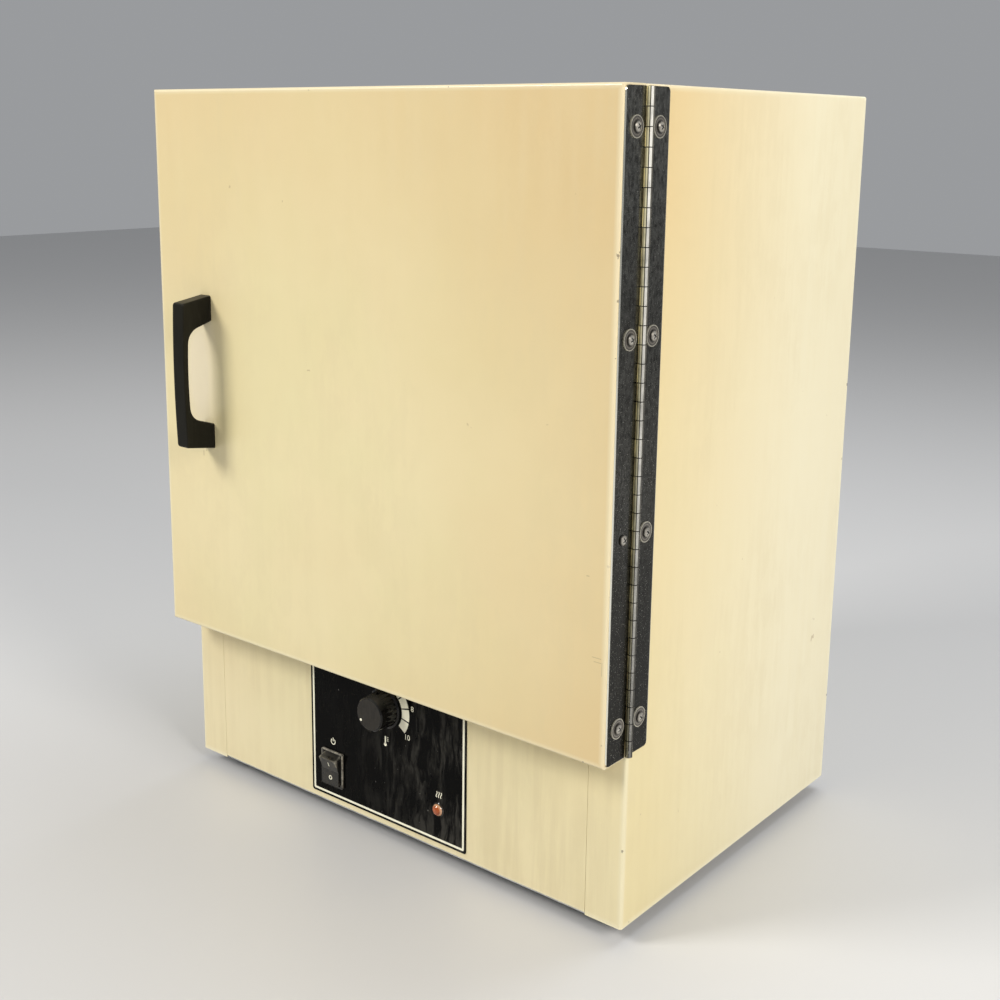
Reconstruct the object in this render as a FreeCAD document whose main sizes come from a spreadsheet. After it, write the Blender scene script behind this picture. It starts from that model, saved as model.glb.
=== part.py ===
import FreeCAD, Part
import math
import os
from types import SimpleNamespace

import Sketcher

# Bench oven with a side-hinged insulated door. Millimetres, +Z up, +Y to the rear, +X to the right.
# Origin: on the bench, mid-width, in the middle of the overall depth. Most pieces are drawn in the
# cabinet's own frame, whose zero is the front plane and the lower edge of the cabinet.

sizes = {
    # cabinet
    "cabinet_width": 467, "cabinet_depth": 323, "cabinet_height": 596, "sheet": 1, "corner_bend": 2,
    "front_flange": 32, "rear_flange": 14, "fit_gap": 0.3, "cut_overrun": 2, "rear_inset": 3,
    "base_flange": 15, "panel_behind_door": 13.4, "panel_raise": 2, "panel_lip": 12,
    # chamber
    "side_insulation": 68.5, "top_insulation": 52, "back_insulation": 69, "floor_insulation": 40,
    "liner_flange": 14, "blanket_front": 14, "blanket_side_gap": 7, "sub_floor_behind_door": 12,
    # vent
    "vent_from_back": 30, "vent_duct_dia": 50, "duct_clearance": 5, "vent_plate_dia": 66,
    "vent_plate_thick": 1.2, "vent_hole_dia": 16, "vent_hole_offset": 13.5, "damper_dia": 54,
    "damper_thick": 1.2,
    "damper_tab": 4, "damper_tab_width": 14, "pivot_dia": 4, "pivot_head_dia": 8, "pivot_head": 1.6,
    # heater and baffle
    "element_dia": 8, "element_rise": 14, "element_from_side": 45, "element_front": 85,
    "element_from_back": 60, "leg_from_back": 15, "element_bend": 16, "element_tail": 36,
    "insulator_dia": 13, "insulator_length": 16, "stud_dia": 4, "stud_length": 12,
    "bridge_thick": 3, "bridge_set_in": 12, "bridge_overhang": 10,
    "baffle_rise": 30, "baffle_gap": 2, "baffle_inset": 4, "slot_margin": 32, "slot_rib": 26,
    "slot_width": 8, "slot_end_margin": 20, "slot_rows": 8, "slot_columns": 3,
    # shelves; the lower one counts its slots from the bottom, the upper one from the top
    "upright_width": 18, "upright_deep": 4, "upright_lift": 44, "upright_top_gap": 16,
    "upright_front": 45, "upright_from_back": 50, "upright_slot_width": 11, "upright_slot_height": 3,
    "upright_pitch": 25.4, "upright_first_slot": 20, "clip_thick": 1.5, "clip_reach": 14,
    "clip_width": 9, "clip_drop": 9, "lower_shelf_slot": 2, "upper_shelf_slot": 4,
    "shelf_wire": 5, "shelf_front": 16, "shelf_from_back": 23,
    "shelf_side_gap": 8, "shelf_corner": 14, "rod_dia": 3, "rod_count": 13, "rod_overlap": 0.8,
    # thermostat and knob
    "dial_height": 106, "shaft_dia": 6, "shaft_flat": 1.5, "shaft_bush_dia": 10, "shaft_in": 12,
    "shaft_clearance": 0.05, "thermostat_width": 44, "thermostat_height": 50,
    "thermostat_deep": 34, "thermostat_corner": 4, "knob_skirt_dia": 34, "knob_skirt": 2.2,
    "knob_dia": 31, "knob_face_dia": 28.4, "knob_front": 19.6, "knob_lift": 0.9, "knob_socket": 3,
    "flute_count": 24, "flute_dia": 2.6, "cap_dia": 25.4, "cap_thick": 0.9, "grub_dia": 3,
    "grub_length": 8, "grub_set": 8, "capillary_dia": 2, "bulb_dia": 6.4, "bulb_length": 96,
    "bulb_lift": 74, "bulb_from_side": 85, "bulb_from_back": 9, "bulb_clip_width": 8,
    # panel parts
    "label_width": 173.5, "label_bottom": 6.7, "label_behind_door": 10, "label_thick": 0.5,
    "label_corner": 2, "switch_left": 61, "switch_height": 34, "bezel_width": 25,
    "bezel_tall": 32, "bezel_thick": 2, "bezel_corner": 1.5, "switch_body_width": 22,
    "switch_body_tall": 30, "switch_body_deep": 27, "rocker_well_width": 19.6,
    "rocker_well_tall": 28.8, "rocker_well_deep": 19, "rocker_width": 18.8, "rocker_radius": 14.1,
    "rocker_pivot": 1, "rocker_pin_dia": 2.6, "rocker_pin_reach": 0.9,
    "rocker_end": 7.5, "rocker_middle": 5.2, "rocker_rear": 3,
    "rocker_tilt": 10, "blade_width": 6.3, "blade_thick": 0.8, "blade_length": 9,
    "blade_pitch": 9, "lamp_right": 58.3, "lamp_height": 36.1, "lamp_dia": 11.5, "lamp_rim": 1.2,
    "lamp_dome": 3.6, "lamp_neck_dia": 8, "lamp_neck": 6, "lamp_body_dia": 12.5,
    "lamp_body_deep": 22,
    # terminal block, cord bushing
    "block_width": 60, "block_deep": 22, "block_tall": 17, "block_from_back": 87, "block_ways": 4,
    "block_screw_dia": 5, "bushing_from_side": 83.5, "bushing_height": 60, "bushing_dia": 16,
    "bushing_flange_dia": 22, "bushing_bore_dia": 9, "bushing_proud": 6, "bushing_inner": 7,
    # feet
    "foot_height": 12.7, "foot_dia": 26, "foot_top_dia": 22, "foot_from_side": 45.5, "foot_front": 42,
    "foot_from_back": 41, "foot_bore_dia": 5, "foot_recess_dia": 12, "foot_recess": 6,
    # door
    "knob_to_door": 13, "door_thick": 25, "door_gap": 4, "door_skin": 1, "door_bend": 2,
    "door_return": 16, "inner_panel_inset": 6, "gasket_width": 8, "gasket_offset": 10,
    "gasket_round": 1.1, "door_blanket_thick": 19, "door_blanket_inset": 14,
    # hinge
    "knuckle_pitch": 12.7, "knuckle_gap": 0.4, "leaf_width": 25.4,
    "leaf_thick": 1.2, "barrel_dia": 5.5, "pin_dia": 3, "pin_clearance": 0.05, "leaf_corner": 3.5,
    "hinge_screw_end": 25.4, "hinge_screw_offset": 13.5, "hinge_screw_rows": 4,
    "hinge_head_dia": 7.4, "hinge_head": 2.2, "hinge_head_edge": 0.9, "hinge_shank_dia": 4,
    "hinge_shank": 7, "screw_hole_dia": 4.8, "washer_dia": 14.6, "washer_thick": 0.9,
    # handle
    "handle_from_side": 51.5, "handle_width": 13.6, "handle_foot_span": 129,
    "handle_face_span": 118.8, "handle_reach": 28.5, "handle_bow": 1.5, "handle_inner_foot": 89.6,
    "handle_inner_face": 72, "handle_bar": 4.6, "handle_fillet": 10,
    "handle_screw_inset": 9, "handle_screw_dia": 4, "handle_screw_length": 13,
    # catch
    "catch_from_side": 42, "catch_tall": 50, "catch_width": 11,
    "catch_deep": 14, "catch_proud": 1.2, "striker_width": 13, "striker_tall": 54,
    "striker_thick": 1.5,
    # small fasteners
    "screw_dia": 3.5, "screw_head_dia": 7, "screw_head": 2, "screw_length": 8, "screw_inset": 7,
}

doc = FreeCAD.newDocument("bench_oven")
sheet = doc.addObject("Spreadsheet::Sheet", "Sizes")
for row, (alias, value) in enumerate(sizes.items(), 1):
    sheet.set(f"A{row}", alias)
    sheet.set(f"B{row}", str(value))
    sheet.setAlias(f"B{row}", alias)
doc.recompute()


class Size:
    # A length that carries its number and the formula that ties it to the sheet.
    def __init__(self, number, formula):
        self.number = float(number)
        self.formula = formula

    def __float__(self):
        return self.number

    def __add__(self, other):
        other = as_size(other)
        return Size(self.number + other.number, f"({self.formula} + {other.formula})")

    def __sub__(self, other):
        other = as_size(other)
        return Size(self.number - other.number, f"({self.formula} - {other.formula})")

    def __mul__(self, other):
        other = as_size(other)
        return Size(self.number * other.number, f"({self.formula} * {other.formula})")

    def __truediv__(self, other):
        other = as_size(other)
        return Size(self.number / other.number, f"({self.formula} / {other.formula})")

    def __neg__(self):
        return Size(-self.number, f"(0 - {self.formula})")

    def __rsub__(self, other):
        return as_size(other) - self

    __radd__ = __add__
    __rmul__ = __mul__


def as_size(value):
    return value if isinstance(value, Size) else Size(value, repr(value))


def root(size):
    return Size(math.sqrt(size.number), f"sqrt({size.formula})")


def whole(size):
    return Size(math.floor(size.number), f"floor({size.formula})")


def dome(radius, rise):
    # bulge of the arc that runs from a rim up to the axis on a sphere centred on that axis
    ball = (radius * radius + rise * rise) / (rise * 2)
    quarter_chord = (radius * radius + rise * rise) / 4
    return ball - root(ball * ball - quarter_chord)


s = SimpleNamespace(**{name: Size(sheet.get(name), "Sizes." + name) for name in sizes})

# Places worked out from the sizes
half_width = s.cabinet_width / 2
# levels from the dial upwards: door, panel, sub floor, chamber and what stands in it
door_bottom = s.dial_height + s.knob_skirt_dia / 2 + s.knob_to_door
panel_top = door_bottom + s.panel_behind_door
label_top = door_bottom + s.label_behind_door
sub_floor_level = door_bottom + s.sub_floor_behind_door
chamber_floor = sub_floor_level + s.floor_insulation
element_level = chamber_floor + s.element_rise
baffle_level = chamber_floor + s.baffle_rise
upright_bottom = chamber_floor + s.upright_lift
bulb_bottom = chamber_floor + s.bulb_lift
wall_inside = half_width - s.sheet
chamber_half = half_width - s.side_insulation
liner_half = chamber_half + s.sheet
chamber_top = s.cabinet_height - s.top_insulation
chamber_depth = s.cabinet_depth - s.back_insulation
liner_bottom = chamber_floor - s.sheet
liner_top = chamber_top + s.sheet
liner_back = s.sheet + chamber_depth
vent_y = liner_back - s.vent_from_back
frame_half = half_width - s.front_flange - s.fit_gap
frame_top = s.cabinet_height - s.front_flange - s.fit_gap
blanket_back = s.cabinet_depth - s.screw_length - s.fit_gap
blanket_base = sub_floor_level + s.sheet + s.fit_gap
blanket_top = s.cabinet_height - s.sheet - s.fit_gap
door_back = -s.door_gap
door_front = -s.door_gap - s.door_thick
inner_panel_back = door_back + s.sheet
hinge_x = half_width + s.barrel_dia / 2
hinge_y = -s.door_gap / 2
door_middle = (door_bottom + s.cabinet_height) / 2
# knuckles come in pairs, one for each leaf
knuckle_pairs = whole((s.cabinet_height - door_bottom) / (s.knuckle_pitch * 2))
hinge_length = s.knuckle_pitch * 2 * knuckle_pairs
hinge_bottom = door_middle - hinge_length / 2
leaf_face = half_width + s.leaf_thick
overall_front = door_front - s.handle_reach - s.handle_bow
overall_back = s.cabinet_depth + s.sheet + s.bushing_proud
cabinet_front = -(overall_front + overall_back) / 2
label_face = -s.label_thick
knob_back = label_face - s.fit_gap
knob_deep = s.knob_front - s.knob_lift
catch_x = s.catch_from_side - half_width
handle_x = s.handle_from_side - half_width
bushing_x = half_width - s.bushing_from_side

nodes = []


def bind(thing, name, size):
    thing.setExpression(name, as_size(size).formula)


def place(thing, x=0, y=0, z=0):
    # cabinet frame to the part's own frame
    bind(thing, "Placement.Base.x", x)
    bind(thing, "Placement.Base.y", cabinet_front + y)
    bind(thing, "Placement.Base.z", s.foot_height + z)
    return thing


def new_body(name, x=0, y=0, z=0, kept=True):
    body = doc.addObject("PartDesign::Body", name)
    body.Label = name
    place(body, x, y, z)
    if kept:
        nodes.append(body)
    return body


def origin_of(body, role):
    return next(item for item in body.Origin.OriginFeatures if item.Role == role)


# Loops for sketches. Each adds its geometry with distances from the sketch's origin.
def outline(*points):
    # A closed loop through points (x, y), or (x, y, bulge): bulge is how far the arc that
    # arrives at the point stands off its chord, to the left of the way it runs.
    def draw(sketch):
        first = sketch.GeometryCount
        flat = [(float(p[0]), float(p[1])) for p in points]
        shapes = []
        bulges = []
        for i, start in enumerate(flat):
            stop = flat[(i + 1) % len(flat)]
            following = points[(i + 1) % len(flat)]
            a, b = FreeCAD.Vector(*start, 0), FreeCAD.Vector(*stop, 0)
            if len(following) == 2:
                shapes.append(Part.LineSegment(a, b))
                bulges.append(None)
                continue
            chord = b - a
            left = FreeCAD.Vector(-chord.y, chord.x, 0).normalize()
            middle = (a + b) / 2 + left * float(following[2])
            shapes.append(Part.Arc(a, middle, b))
            bulges.append(following[2])
        sketch.addGeometry(shapes, False)
        count = len(flat)
        # A bulge to the left of its chord turns clockwise, and its arc then starts at the chord's end.
        swapped = [b is not None and float(b) > 0 for b in bulges]
        start_of = [2 if swap else 1 for swap in swapped]
        stop_of = [1 if swap else 2 for swap in swapped]
        joins = []
        for i in range(count):
            j = (i + 1) % count
            joins.append(Sketcher.Constraint("Coincident", first + i, stop_of[i], first + j, start_of[j]))
        sketch.addConstraint(joins)
        for i, point in enumerate(points):
            for kind, size in (("DistanceX", point[0]), ("DistanceY", point[1])):
                hold(sketch, Sketcher.Constraint(kind, -1, 1, first + i, start_of[i], float(size)), size)
        for i, bulge in enumerate(bulges):
            if bulge is None:
                continue
            j = (i + 1) % count
            run = points[j][0] - points[i][0]
            rise = points[j][1] - points[i][1]
            depth = bulge if float(bulge) > 0 else -bulge
            radius = ((run * run + rise * rise) / 4 + depth * depth) / (depth * 2)
            hold(sketch, Sketcher.Constraint("Radius", first + i, float(radius)), radius)
    return draw


def hold(sketch, constraint, size):
    index = sketch.addConstraint(constraint)
    if isinstance(size, Size):
        sketch.renameConstraint(index, f"held_{index}")
        bind(sketch, f"Constraints.held_{index}", size)


def box(x0, y0, x1, y1):
    return outline((x0, y0), (x1, y0), (x1, y1), (x0, y1))


def circle(x, y, diameter):
    def draw(sketch):
        index = sketch.GeometryCount
        centre = FreeCAD.Vector(float(x), float(y), 0)
        sketch.addGeometry(Part.Circle(centre, FreeCAD.Vector(0, 0, 1), float(diameter) / 2), False)
        hold(sketch, Sketcher.Constraint("DistanceX", -1, 1, index, 3, float(x)), x)
        hold(sketch, Sketcher.Constraint("DistanceY", -1, 1, index, 3, float(y)), y)
        hold(sketch, Sketcher.Constraint("Radius", index, float(diameter) / 2), diameter / 2)
    return draw


def sketch_on(body, plane, at, loops):
    sketch = body.newObject("Sketcher::SketchObject", body.Name + "_sketch")
    sketch.AttachmentSupport = [(origin_of(body, plane + "_Plane"), "")]
    sketch.MapMode = "FlatFace"
    # the XZ plane looks along -Y, so its offset runs the other way
    bind(sketch, "AttachmentOffset.Base.z", -as_size(at) if plane == "XZ" else at)
    for draw in loops:
        draw(sketch)
    return sketch


def pad(body, plane, at, length, *loops):
    feature = body.newObject("PartDesign::Pad", body.Name + "_pad")
    feature.Profile = sketch_on(body, plane, at, loops)
    bind(feature, "Length", length)
    feature.Reversed = plane == "XZ"
    body.Tip = feature
    return feature


def cut(body, plane, at, length, *loops):
    feature = body.newObject("PartDesign::Pocket", body.Name + "_cut")
    feature.Profile = sketch_on(body, plane, at, loops)
    bind(feature, "Length", length)
    feature.Reversed = plane != "XZ"
    body.Tip = feature
    return feature


def cut_through(body, plane, start, thickness, *loops):
    return cut(body, plane, start - s.cut_overrun, thickness + s.cut_overrun * 2, *loops)


def revolve(body, plane, axis, *loops):
    feature = body.newObject("PartDesign::Revolution", body.Name + "_turn")
    sketch = sketch_on(body, plane, 0, loops)
    feature.Profile = sketch
    feature.ReferenceAxis = (sketch, [axis])
    feature.Angle = 360
    body.Tip = feature
    return feature


def repeat(body, feature, axis, pitch, count):
    pattern = body.newObject("PartDesign::LinearPattern", body.Name + "_row")
    pattern.Originals = [feature]
    pattern.Direction = (origin_of(body, axis), [""])
    pattern.Mode = "Spacing"
    bind(pattern, "Offset", pitch)
    bind(pattern, "Occurrences", count)
    body.Tip = pattern
    return pattern


def repeat_round(body, feature, axis, count):
    pattern = body.newObject("PartDesign::PolarPattern", body.Name + "_ring")
    pattern.Originals = [feature]
    pattern.Axis = (origin_of(body, axis), [""])
    pattern.Angle = 360
    bind(pattern, "Occurrences", count)
    body.Tip = pattern
    return pattern


def round_edges(body, radius, wanted):
    # fillets the edges of the body's tip for which wanted(edge) is true
    doc.recompute()
    tip = body.Tip
    names = [f"Edge{i}" for i, edge in enumerate(tip.Shape.Edges, 1) if wanted(edge)]
    feature = body.newObject("PartDesign::Fillet", body.Name + "_fillet")
    feature.Base = (tip, names)
    bind(feature, "Radius", radius)
    body.Tip = feature
    return feature


def runs_along(edge, axis):
    ends = [vertex.Point for vertex in edge.Vertexes]
    if len(ends) < 2:
        return False
    way = ends[1] - ends[0]
    return way.Length > 0 and abs(abs(way.dot(axis)) - way.Length) < way.Length / 1000


x_way, y_way, z_way = FreeCAD.Vector(1, 0, 0), FreeCAD.Vector(0, 1, 0), FreeCAD.Vector(0, 0, 1)


def near(value, size):
    return abs(value - float(size)) < float(s.fit_gap) / 10


def group(name, base, places, turned=()):
    # one node of several separate, alike solids; those in turned face the other way about Z
    links = []
    for number, (x, y, z) in enumerate([*places, *turned]):
        link = doc.addObject("App::Link", f"{name}_{number}")
        link.LinkedObject = base
        place(link, x, y, z)
        if number >= len(places):
            link.setExpression("Placement.Rotation.Angle", "180")
        links.append(link)
    whole = doc.addObject("Part::Compound", name)
    whole.Label = name
    whole.Links = links
    nodes.append(whole)
    return whole


def panel_screw(name, head):
    # pan head towards +Y, its underside at zero
    body = new_body(name, kept=False)
    radius = s.screw_dia / 2
    revolve(
        body, "XY", "V_Axis",
        outline((0, head, -dome(s.screw_head_dia / 2, head / 2)), (0, -s.screw_length),
                (radius, -s.screw_length), (radius, 0), (s.screw_head_dia / 2, 0),
                (s.screw_head_dia / 2, head / 2)),
    )
    return body


# Hinge screw places, shared by the leaves, the walls behind them and the screws
hinge_screw_first = hinge_bottom + s.hinge_screw_end
hinge_screw_pitch = (hinge_length - s.hinge_screw_end * 2) / (s.hinge_screw_rows - 1)
frame_screw_y = hinge_y + s.hinge_screw_offset
door_screw_y = hinge_y - s.hinge_screw_offset


# Cabinet wrap: left side, top and right side bent from one sheet, with flanges front and rear
wrap = new_body("outer_wrap")
pad(wrap, "XY", 0, s.cabinet_height, box(-half_width, 0, half_width, s.cabinet_depth))
round_edges(wrap, s.corner_bend, lambda e: runs_along(e, z_way) and near(e.Vertexes[0].Y, 0))
round_edges(
    wrap,
    s.corner_bend,
    lambda e: runs_along(e, y_way) and near(e.Vertexes[0].Z, s.cabinet_height),
)
cut(
    wrap, "XZ", s.sheet, s.cabinet_depth - s.sheet * 2,
    box(-wall_inside, -s.cut_overrun, wall_inside, s.cabinet_height - s.sheet),
)
cut_through(
    wrap, "XZ", 0, s.sheet,
    box(-half_width + s.front_flange, -s.cut_overrun, half_width - s.front_flange,
        s.cabinet_height - s.front_flange),
)
cut_through(
    wrap, "XZ", s.cabinet_depth - s.sheet, s.sheet,
    box(-half_width + s.rear_flange, -s.cut_overrun, half_width - s.rear_flange,
        s.cabinet_height - s.rear_flange),
)
# the hot duct stands clear of the enamelled top, under the vent plate
cut_through(wrap, "XY", s.cabinet_height - s.sheet, s.sheet,
            circle(0, vent_y, s.vent_duct_dia + s.duct_clearance * 2))
hole = cut_through(wrap, "YZ", wall_inside, s.sheet,
                   circle(frame_screw_y, hinge_screw_first, s.screw_hole_dia))
repeat(wrap, hole, "Z_Axis", hinge_screw_pitch, s.hinge_screw_rows)

# Rear panel, laid over the wrap's rear flanges, with the cord bushing's hole
rear_half = half_width - s.rear_inset
rear_top = s.cabinet_height - s.rear_inset
rear = new_body("rear_panel")
pad(rear, "XZ", s.cabinet_depth, s.sheet, box(-rear_half, s.rear_inset, rear_half, rear_top))
bushing_hole_dia = s.bushing_dia + s.fit_gap * 2
cut_through(rear, "XZ", s.cabinet_depth, s.sheet,
            circle(bushing_x, s.bushing_height, bushing_hole_dia))

# Base plate: a tray with its sides turned up
base_half = wall_inside - s.fit_gap
base_front = s.sheet + s.fit_gap
base_back = s.cabinet_depth - s.sheet - s.fit_gap
base = new_body("base_plate")
pad(base, "XY", 0, s.base_flange, box(-base_half, base_front, base_half, base_back))
cut(
    base, "XY", s.sheet, s.base_flange,
    box(-base_half + s.sheet, base_front - s.cut_overrun, base_half - s.sheet, base_back - s.sheet),
)
foot_x = half_width - s.foot_from_side
foot_rows = (s.foot_front, s.cabinet_depth - s.foot_from_back)
foot_places = [(x, y) for x in (-foot_x, foot_x) for y in foot_rows]
cut_through(base, "XY", 0, s.sheet, *[circle(x, y, s.foot_bore_dia) for x, y in foot_places])

# Sub floor between the insulation and the control space, its sides turned down
sub = new_body("sub_floor")
sub_bottom = sub_floor_level - s.base_flange
pad(sub, "XY", sub_bottom, s.base_flange + s.sheet, box(-base_half, base_front, base_half, base_back))
cut(
    sub, "XY", sub_bottom - s.cut_overrun, s.base_flange + s.cut_overrun,
    box(-base_half + s.sheet, base_front - s.cut_overrun, base_half - s.sheet, base_back + s.cut_overrun),
)
element_side = chamber_half - s.element_from_side
element_pitch = element_side * 2 / 3
element_rear = liner_back - s.element_from_back
leg_y = liner_back - s.leg_from_back
bulb_x = chamber_half - s.bulb_from_side
bulb_y = liner_back - s.bulb_from_back
leg_hole_dia = s.element_dia + s.fit_gap * 4
floor_holes = [
    circle(-element_side, leg_y, leg_hole_dia),
    circle(element_side, leg_y, leg_hole_dia),
    circle(bulb_x, bulb_y, s.capillary_dia + s.fit_gap * 4),
]
cut_through(sub, "XY", sub_floor_level, s.sheet, *floor_holes)

# Control panel between the wrap's flanges, its lower edge turned in
panel = new_body("control_panel")
pad(panel, "XZ", 0, s.panel_lip, box(-frame_half, s.panel_raise, frame_half, panel_top))
cut(
    panel, "XZ", s.sheet, s.panel_lip,
    box(-frame_half - s.cut_overrun, s.panel_raise + s.sheet, frame_half + s.cut_overrun,
        panel_top + s.cut_overrun),
)
switch_hole = box(
    -s.switch_left - s.switch_body_width / 2 - s.fit_gap,
    s.switch_height - s.switch_body_tall / 2 - s.fit_gap,
    -s.switch_left + s.switch_body_width / 2 + s.fit_gap,
    s.switch_height + s.switch_body_tall / 2 + s.fit_gap,
)
panel_holes = [
    circle(0, s.dial_height, s.shaft_bush_dia + s.fit_gap * 2),
    switch_hole,
    circle(s.lamp_right, s.lamp_height, s.lamp_neck_dia + s.fit_gap * 2),
]
cut_through(panel, "XZ", 0, s.sheet, *panel_holes)

# Black panel face, stuck on the control panel
label = new_body("panel_label")
pad(label, "XZ", label_face, s.label_thick,
    box(-s.label_width / 2, s.label_bottom, s.label_width / 2, label_top))
round_edges(label, s.label_corner, lambda e: runs_along(e, y_way))
cut_through(label, "XZ", label_face, s.label_thick, *panel_holes)

# Front frame around the chamber's mouth
frame = new_body("front_frame")
frame_bottom = panel_top + s.fit_gap
pad(frame, "XZ", 0, s.sheet, box(-frame_half, frame_bottom, frame_half, frame_top))
mouth = box(-chamber_half, chamber_floor, chamber_half, chamber_top)
cut_through(frame, "XZ", 0, s.sheet, mouth)
catch_hole = box(
    catch_x - s.catch_width / 2 - s.fit_gap, door_middle - s.catch_tall / 2 - s.fit_gap,
    catch_x + s.catch_width / 2 + s.fit_gap, door_middle + s.catch_tall / 2 + s.fit_gap,
)
cut_through(frame, "XZ", 0, s.sheet, catch_hole)

# Chamber liner: a square tube with a flange behind the front frame
liner = new_body("chamber_liner")
flange_half = chamber_half + s.liner_flange
pad(liner, "XZ", s.sheet, chamber_depth, box(-liner_half, liner_bottom, liner_half, liner_top))
pad(liner, "XZ", s.sheet, s.sheet,
    box(-flange_half, chamber_floor - s.liner_flange, flange_half, chamber_top + s.liner_flange))
cut_through(liner, "XZ", s.sheet, chamber_depth, mouth)
duct_hole_dia = s.vent_duct_dia + s.fit_gap * 2
cut_through(liner, "XY", chamber_top, s.sheet, circle(0, vent_y, duct_hole_dia))
cut_through(liner, "XY", liner_bottom, s.sheet, *floor_holes)

back = new_body("chamber_back")
pad(back, "XZ", liner_back, s.sheet, box(-liner_half, liner_bottom, liner_half, liner_top))

# Insulation blankets round the liner
blanket_inner = liner_half + s.fit_gap
blanket_outer = wall_inside - s.blanket_side_gap
for name, x0, x1 in (
    ("insulation_left", -blanket_outer, -blanket_inner),
    ("insulation_right", blanket_inner, blanket_outer),
):
    blanket = new_body(name)
    pad(blanket, "XY", blanket_base, blanket_top - blanket_base,
        box(x0, s.blanket_front, x1, blanket_back))
blanket = new_body("insulation_top")
pad(blanket, "XY", liner_top + s.fit_gap, blanket_top - liner_top - s.fit_gap,
    box(-liner_half, s.blanket_front, liner_half, blanket_back))
cut_through(blanket, "XY", liner_top, blanket_top - liner_top, circle(0, vent_y, duct_hole_dia))
blanket = new_body("insulation_floor")
pad(blanket, "XY", blanket_base, liner_bottom - s.fit_gap - blanket_base,
    box(-liner_half, s.blanket_front, liner_half, liner_back + s.sheet))
cut_through(blanket, "XY", blanket_base, liner_bottom - blanket_base, *floor_holes)
blanket = new_body("insulation_back")
pad(blanket, "XY", blanket_base, liner_top - blanket_base,
    box(-liner_half, liner_back + s.sheet + s.fit_gap, liner_half, blanket_back))

# Baffle over the heater, slotted, its two sides turned down to stand on the chamber floor
baffle = new_body("floor_baffle")
baffle_half = chamber_half - s.baffle_gap
baffle_front = s.sheet + s.baffle_inset
baffle_back = liner_back - s.baffle_inset * 5
pad(baffle, "XY", chamber_floor + s.fit_gap, baffle_level - chamber_floor - s.fit_gap,
    box(-baffle_half, baffle_front, baffle_half, baffle_back))
cut(baffle, "XZ", baffle_front - s.cut_overrun, baffle_back - baffle_front + s.cut_overrun * 2,
    box(-baffle_half + s.sheet, chamber_floor - s.cut_overrun, baffle_half - s.sheet,
        baffle_level - s.sheet))
slot_left = s.slot_margin - baffle_half
slot_length = (-slot_left * 2 - s.slot_rib * (s.slot_columns - 1)) / s.slot_columns
slot_step = slot_length + s.slot_rib
slot_front = baffle_front + s.slot_end_margin
slot_pitch = (baffle_back - slot_front - s.slot_end_margin - s.slot_width) / (s.slot_rows - 1)
slots = [
    box(slot_left + slot_step * i, slot_front,
        slot_left + slot_step * i + slot_length, slot_front + s.slot_width)
    for i in range(round(float(s.slot_columns)))
]
slot = cut_through(baffle, "XY", baffle_level - s.sheet, s.sheet, *slots)
repeat(baffle, slot, "Y_Axis", slot_pitch, s.slot_rows)


# Tubular heating element: four passes joined by half-turns, its two ends led down through the floor
def element_shape():
    level = float(element_level)
    half = float(element_pitch) / 2
    side = float(element_side)
    front, rear = float(s.element_front), float(element_rear)
    leg_back = float(leg_y)
    bend = float(s.element_bend)
    low = float(sub_floor_level) - float(s.element_tail)
    point = FreeCAD.Vector

    def half_turn(x, y, way):
        ends = [point(x + half * side_of, y, level) for side_of in (-1, 1)]
        return Part.Arc(ends[0], point(x, y + way * half, level), ends[1])

    def quarter(x):
        corner = bend * (1 - math.sqrt(2) / 2)
        return Part.Arc(
            point(x, leg_back, level - bend),
            point(x, leg_back - corner, level - corner),
            point(x, leg_back - bend, level),
        )

    edges = [
        Part.LineSegment(point(-side, leg_back, low), point(-side, leg_back, level - bend)),
        quarter(-side),
        Part.LineSegment(point(-side, leg_back - bend, level), point(-side, front, level)),
        half_turn(-side + half, front, -1),
        Part.LineSegment(point(-half, front, level), point(-half, rear, level)),
        half_turn(0, rear, 1),
        Part.LineSegment(point(half, rear, level), point(half, front, level)),
        half_turn(side - half, front, -1),
        Part.LineSegment(point(side, front, level), point(side, leg_back - bend, level)),
        quarter(side),
        Part.LineSegment(point(side, leg_back, level - bend), point(side, leg_back, low)),
    ]
    return sweep(edges, point(-side, leg_back, low), point(0, 0, 1), s.element_dia)


def sweep(edges, start, way, diameter):
    path = Part.Wire([edge.toShape() for edge in edges])
    ring = Part.Wire([Part.Circle(start, way, float(diameter) / 2).toShape()])
    return path.makePipeShell([ring], True, False)


def code_piece(name, shape):
    piece = doc.addObject("Part::Feature", name)
    piece.Label = name
    piece.Shape = shape
    place(piece)
    nodes.append(piece)
    return piece


code_piece("heating_element", element_shape())

# Ceramic ends of the element with their terminal studs
terminal = new_body("element_terminal_one", kept=False)
insulator_top = sub_floor_level - s.element_tail
insulator_rise = s.insulator_length / 2
revolve(
    terminal, "XZ", "V_Axis",
    outline((0, -s.fit_gap), (0, -insulator_rise - s.stud_length),
            (s.stud_dia / 2, -insulator_rise - s.stud_length), (s.stud_dia / 2, -insulator_rise),
            (s.insulator_dia / 2, -insulator_rise),
            (s.insulator_dia / 2, insulator_rise), (s.element_dia / 2 + s.fit_gap, insulator_rise),
            (s.element_dia / 2 + s.fit_gap, -s.fit_gap)),
)
group("element_terminals", terminal,
      [(-element_side, leg_y, insulator_top), (element_side, leg_y, insulator_top)])

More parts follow.
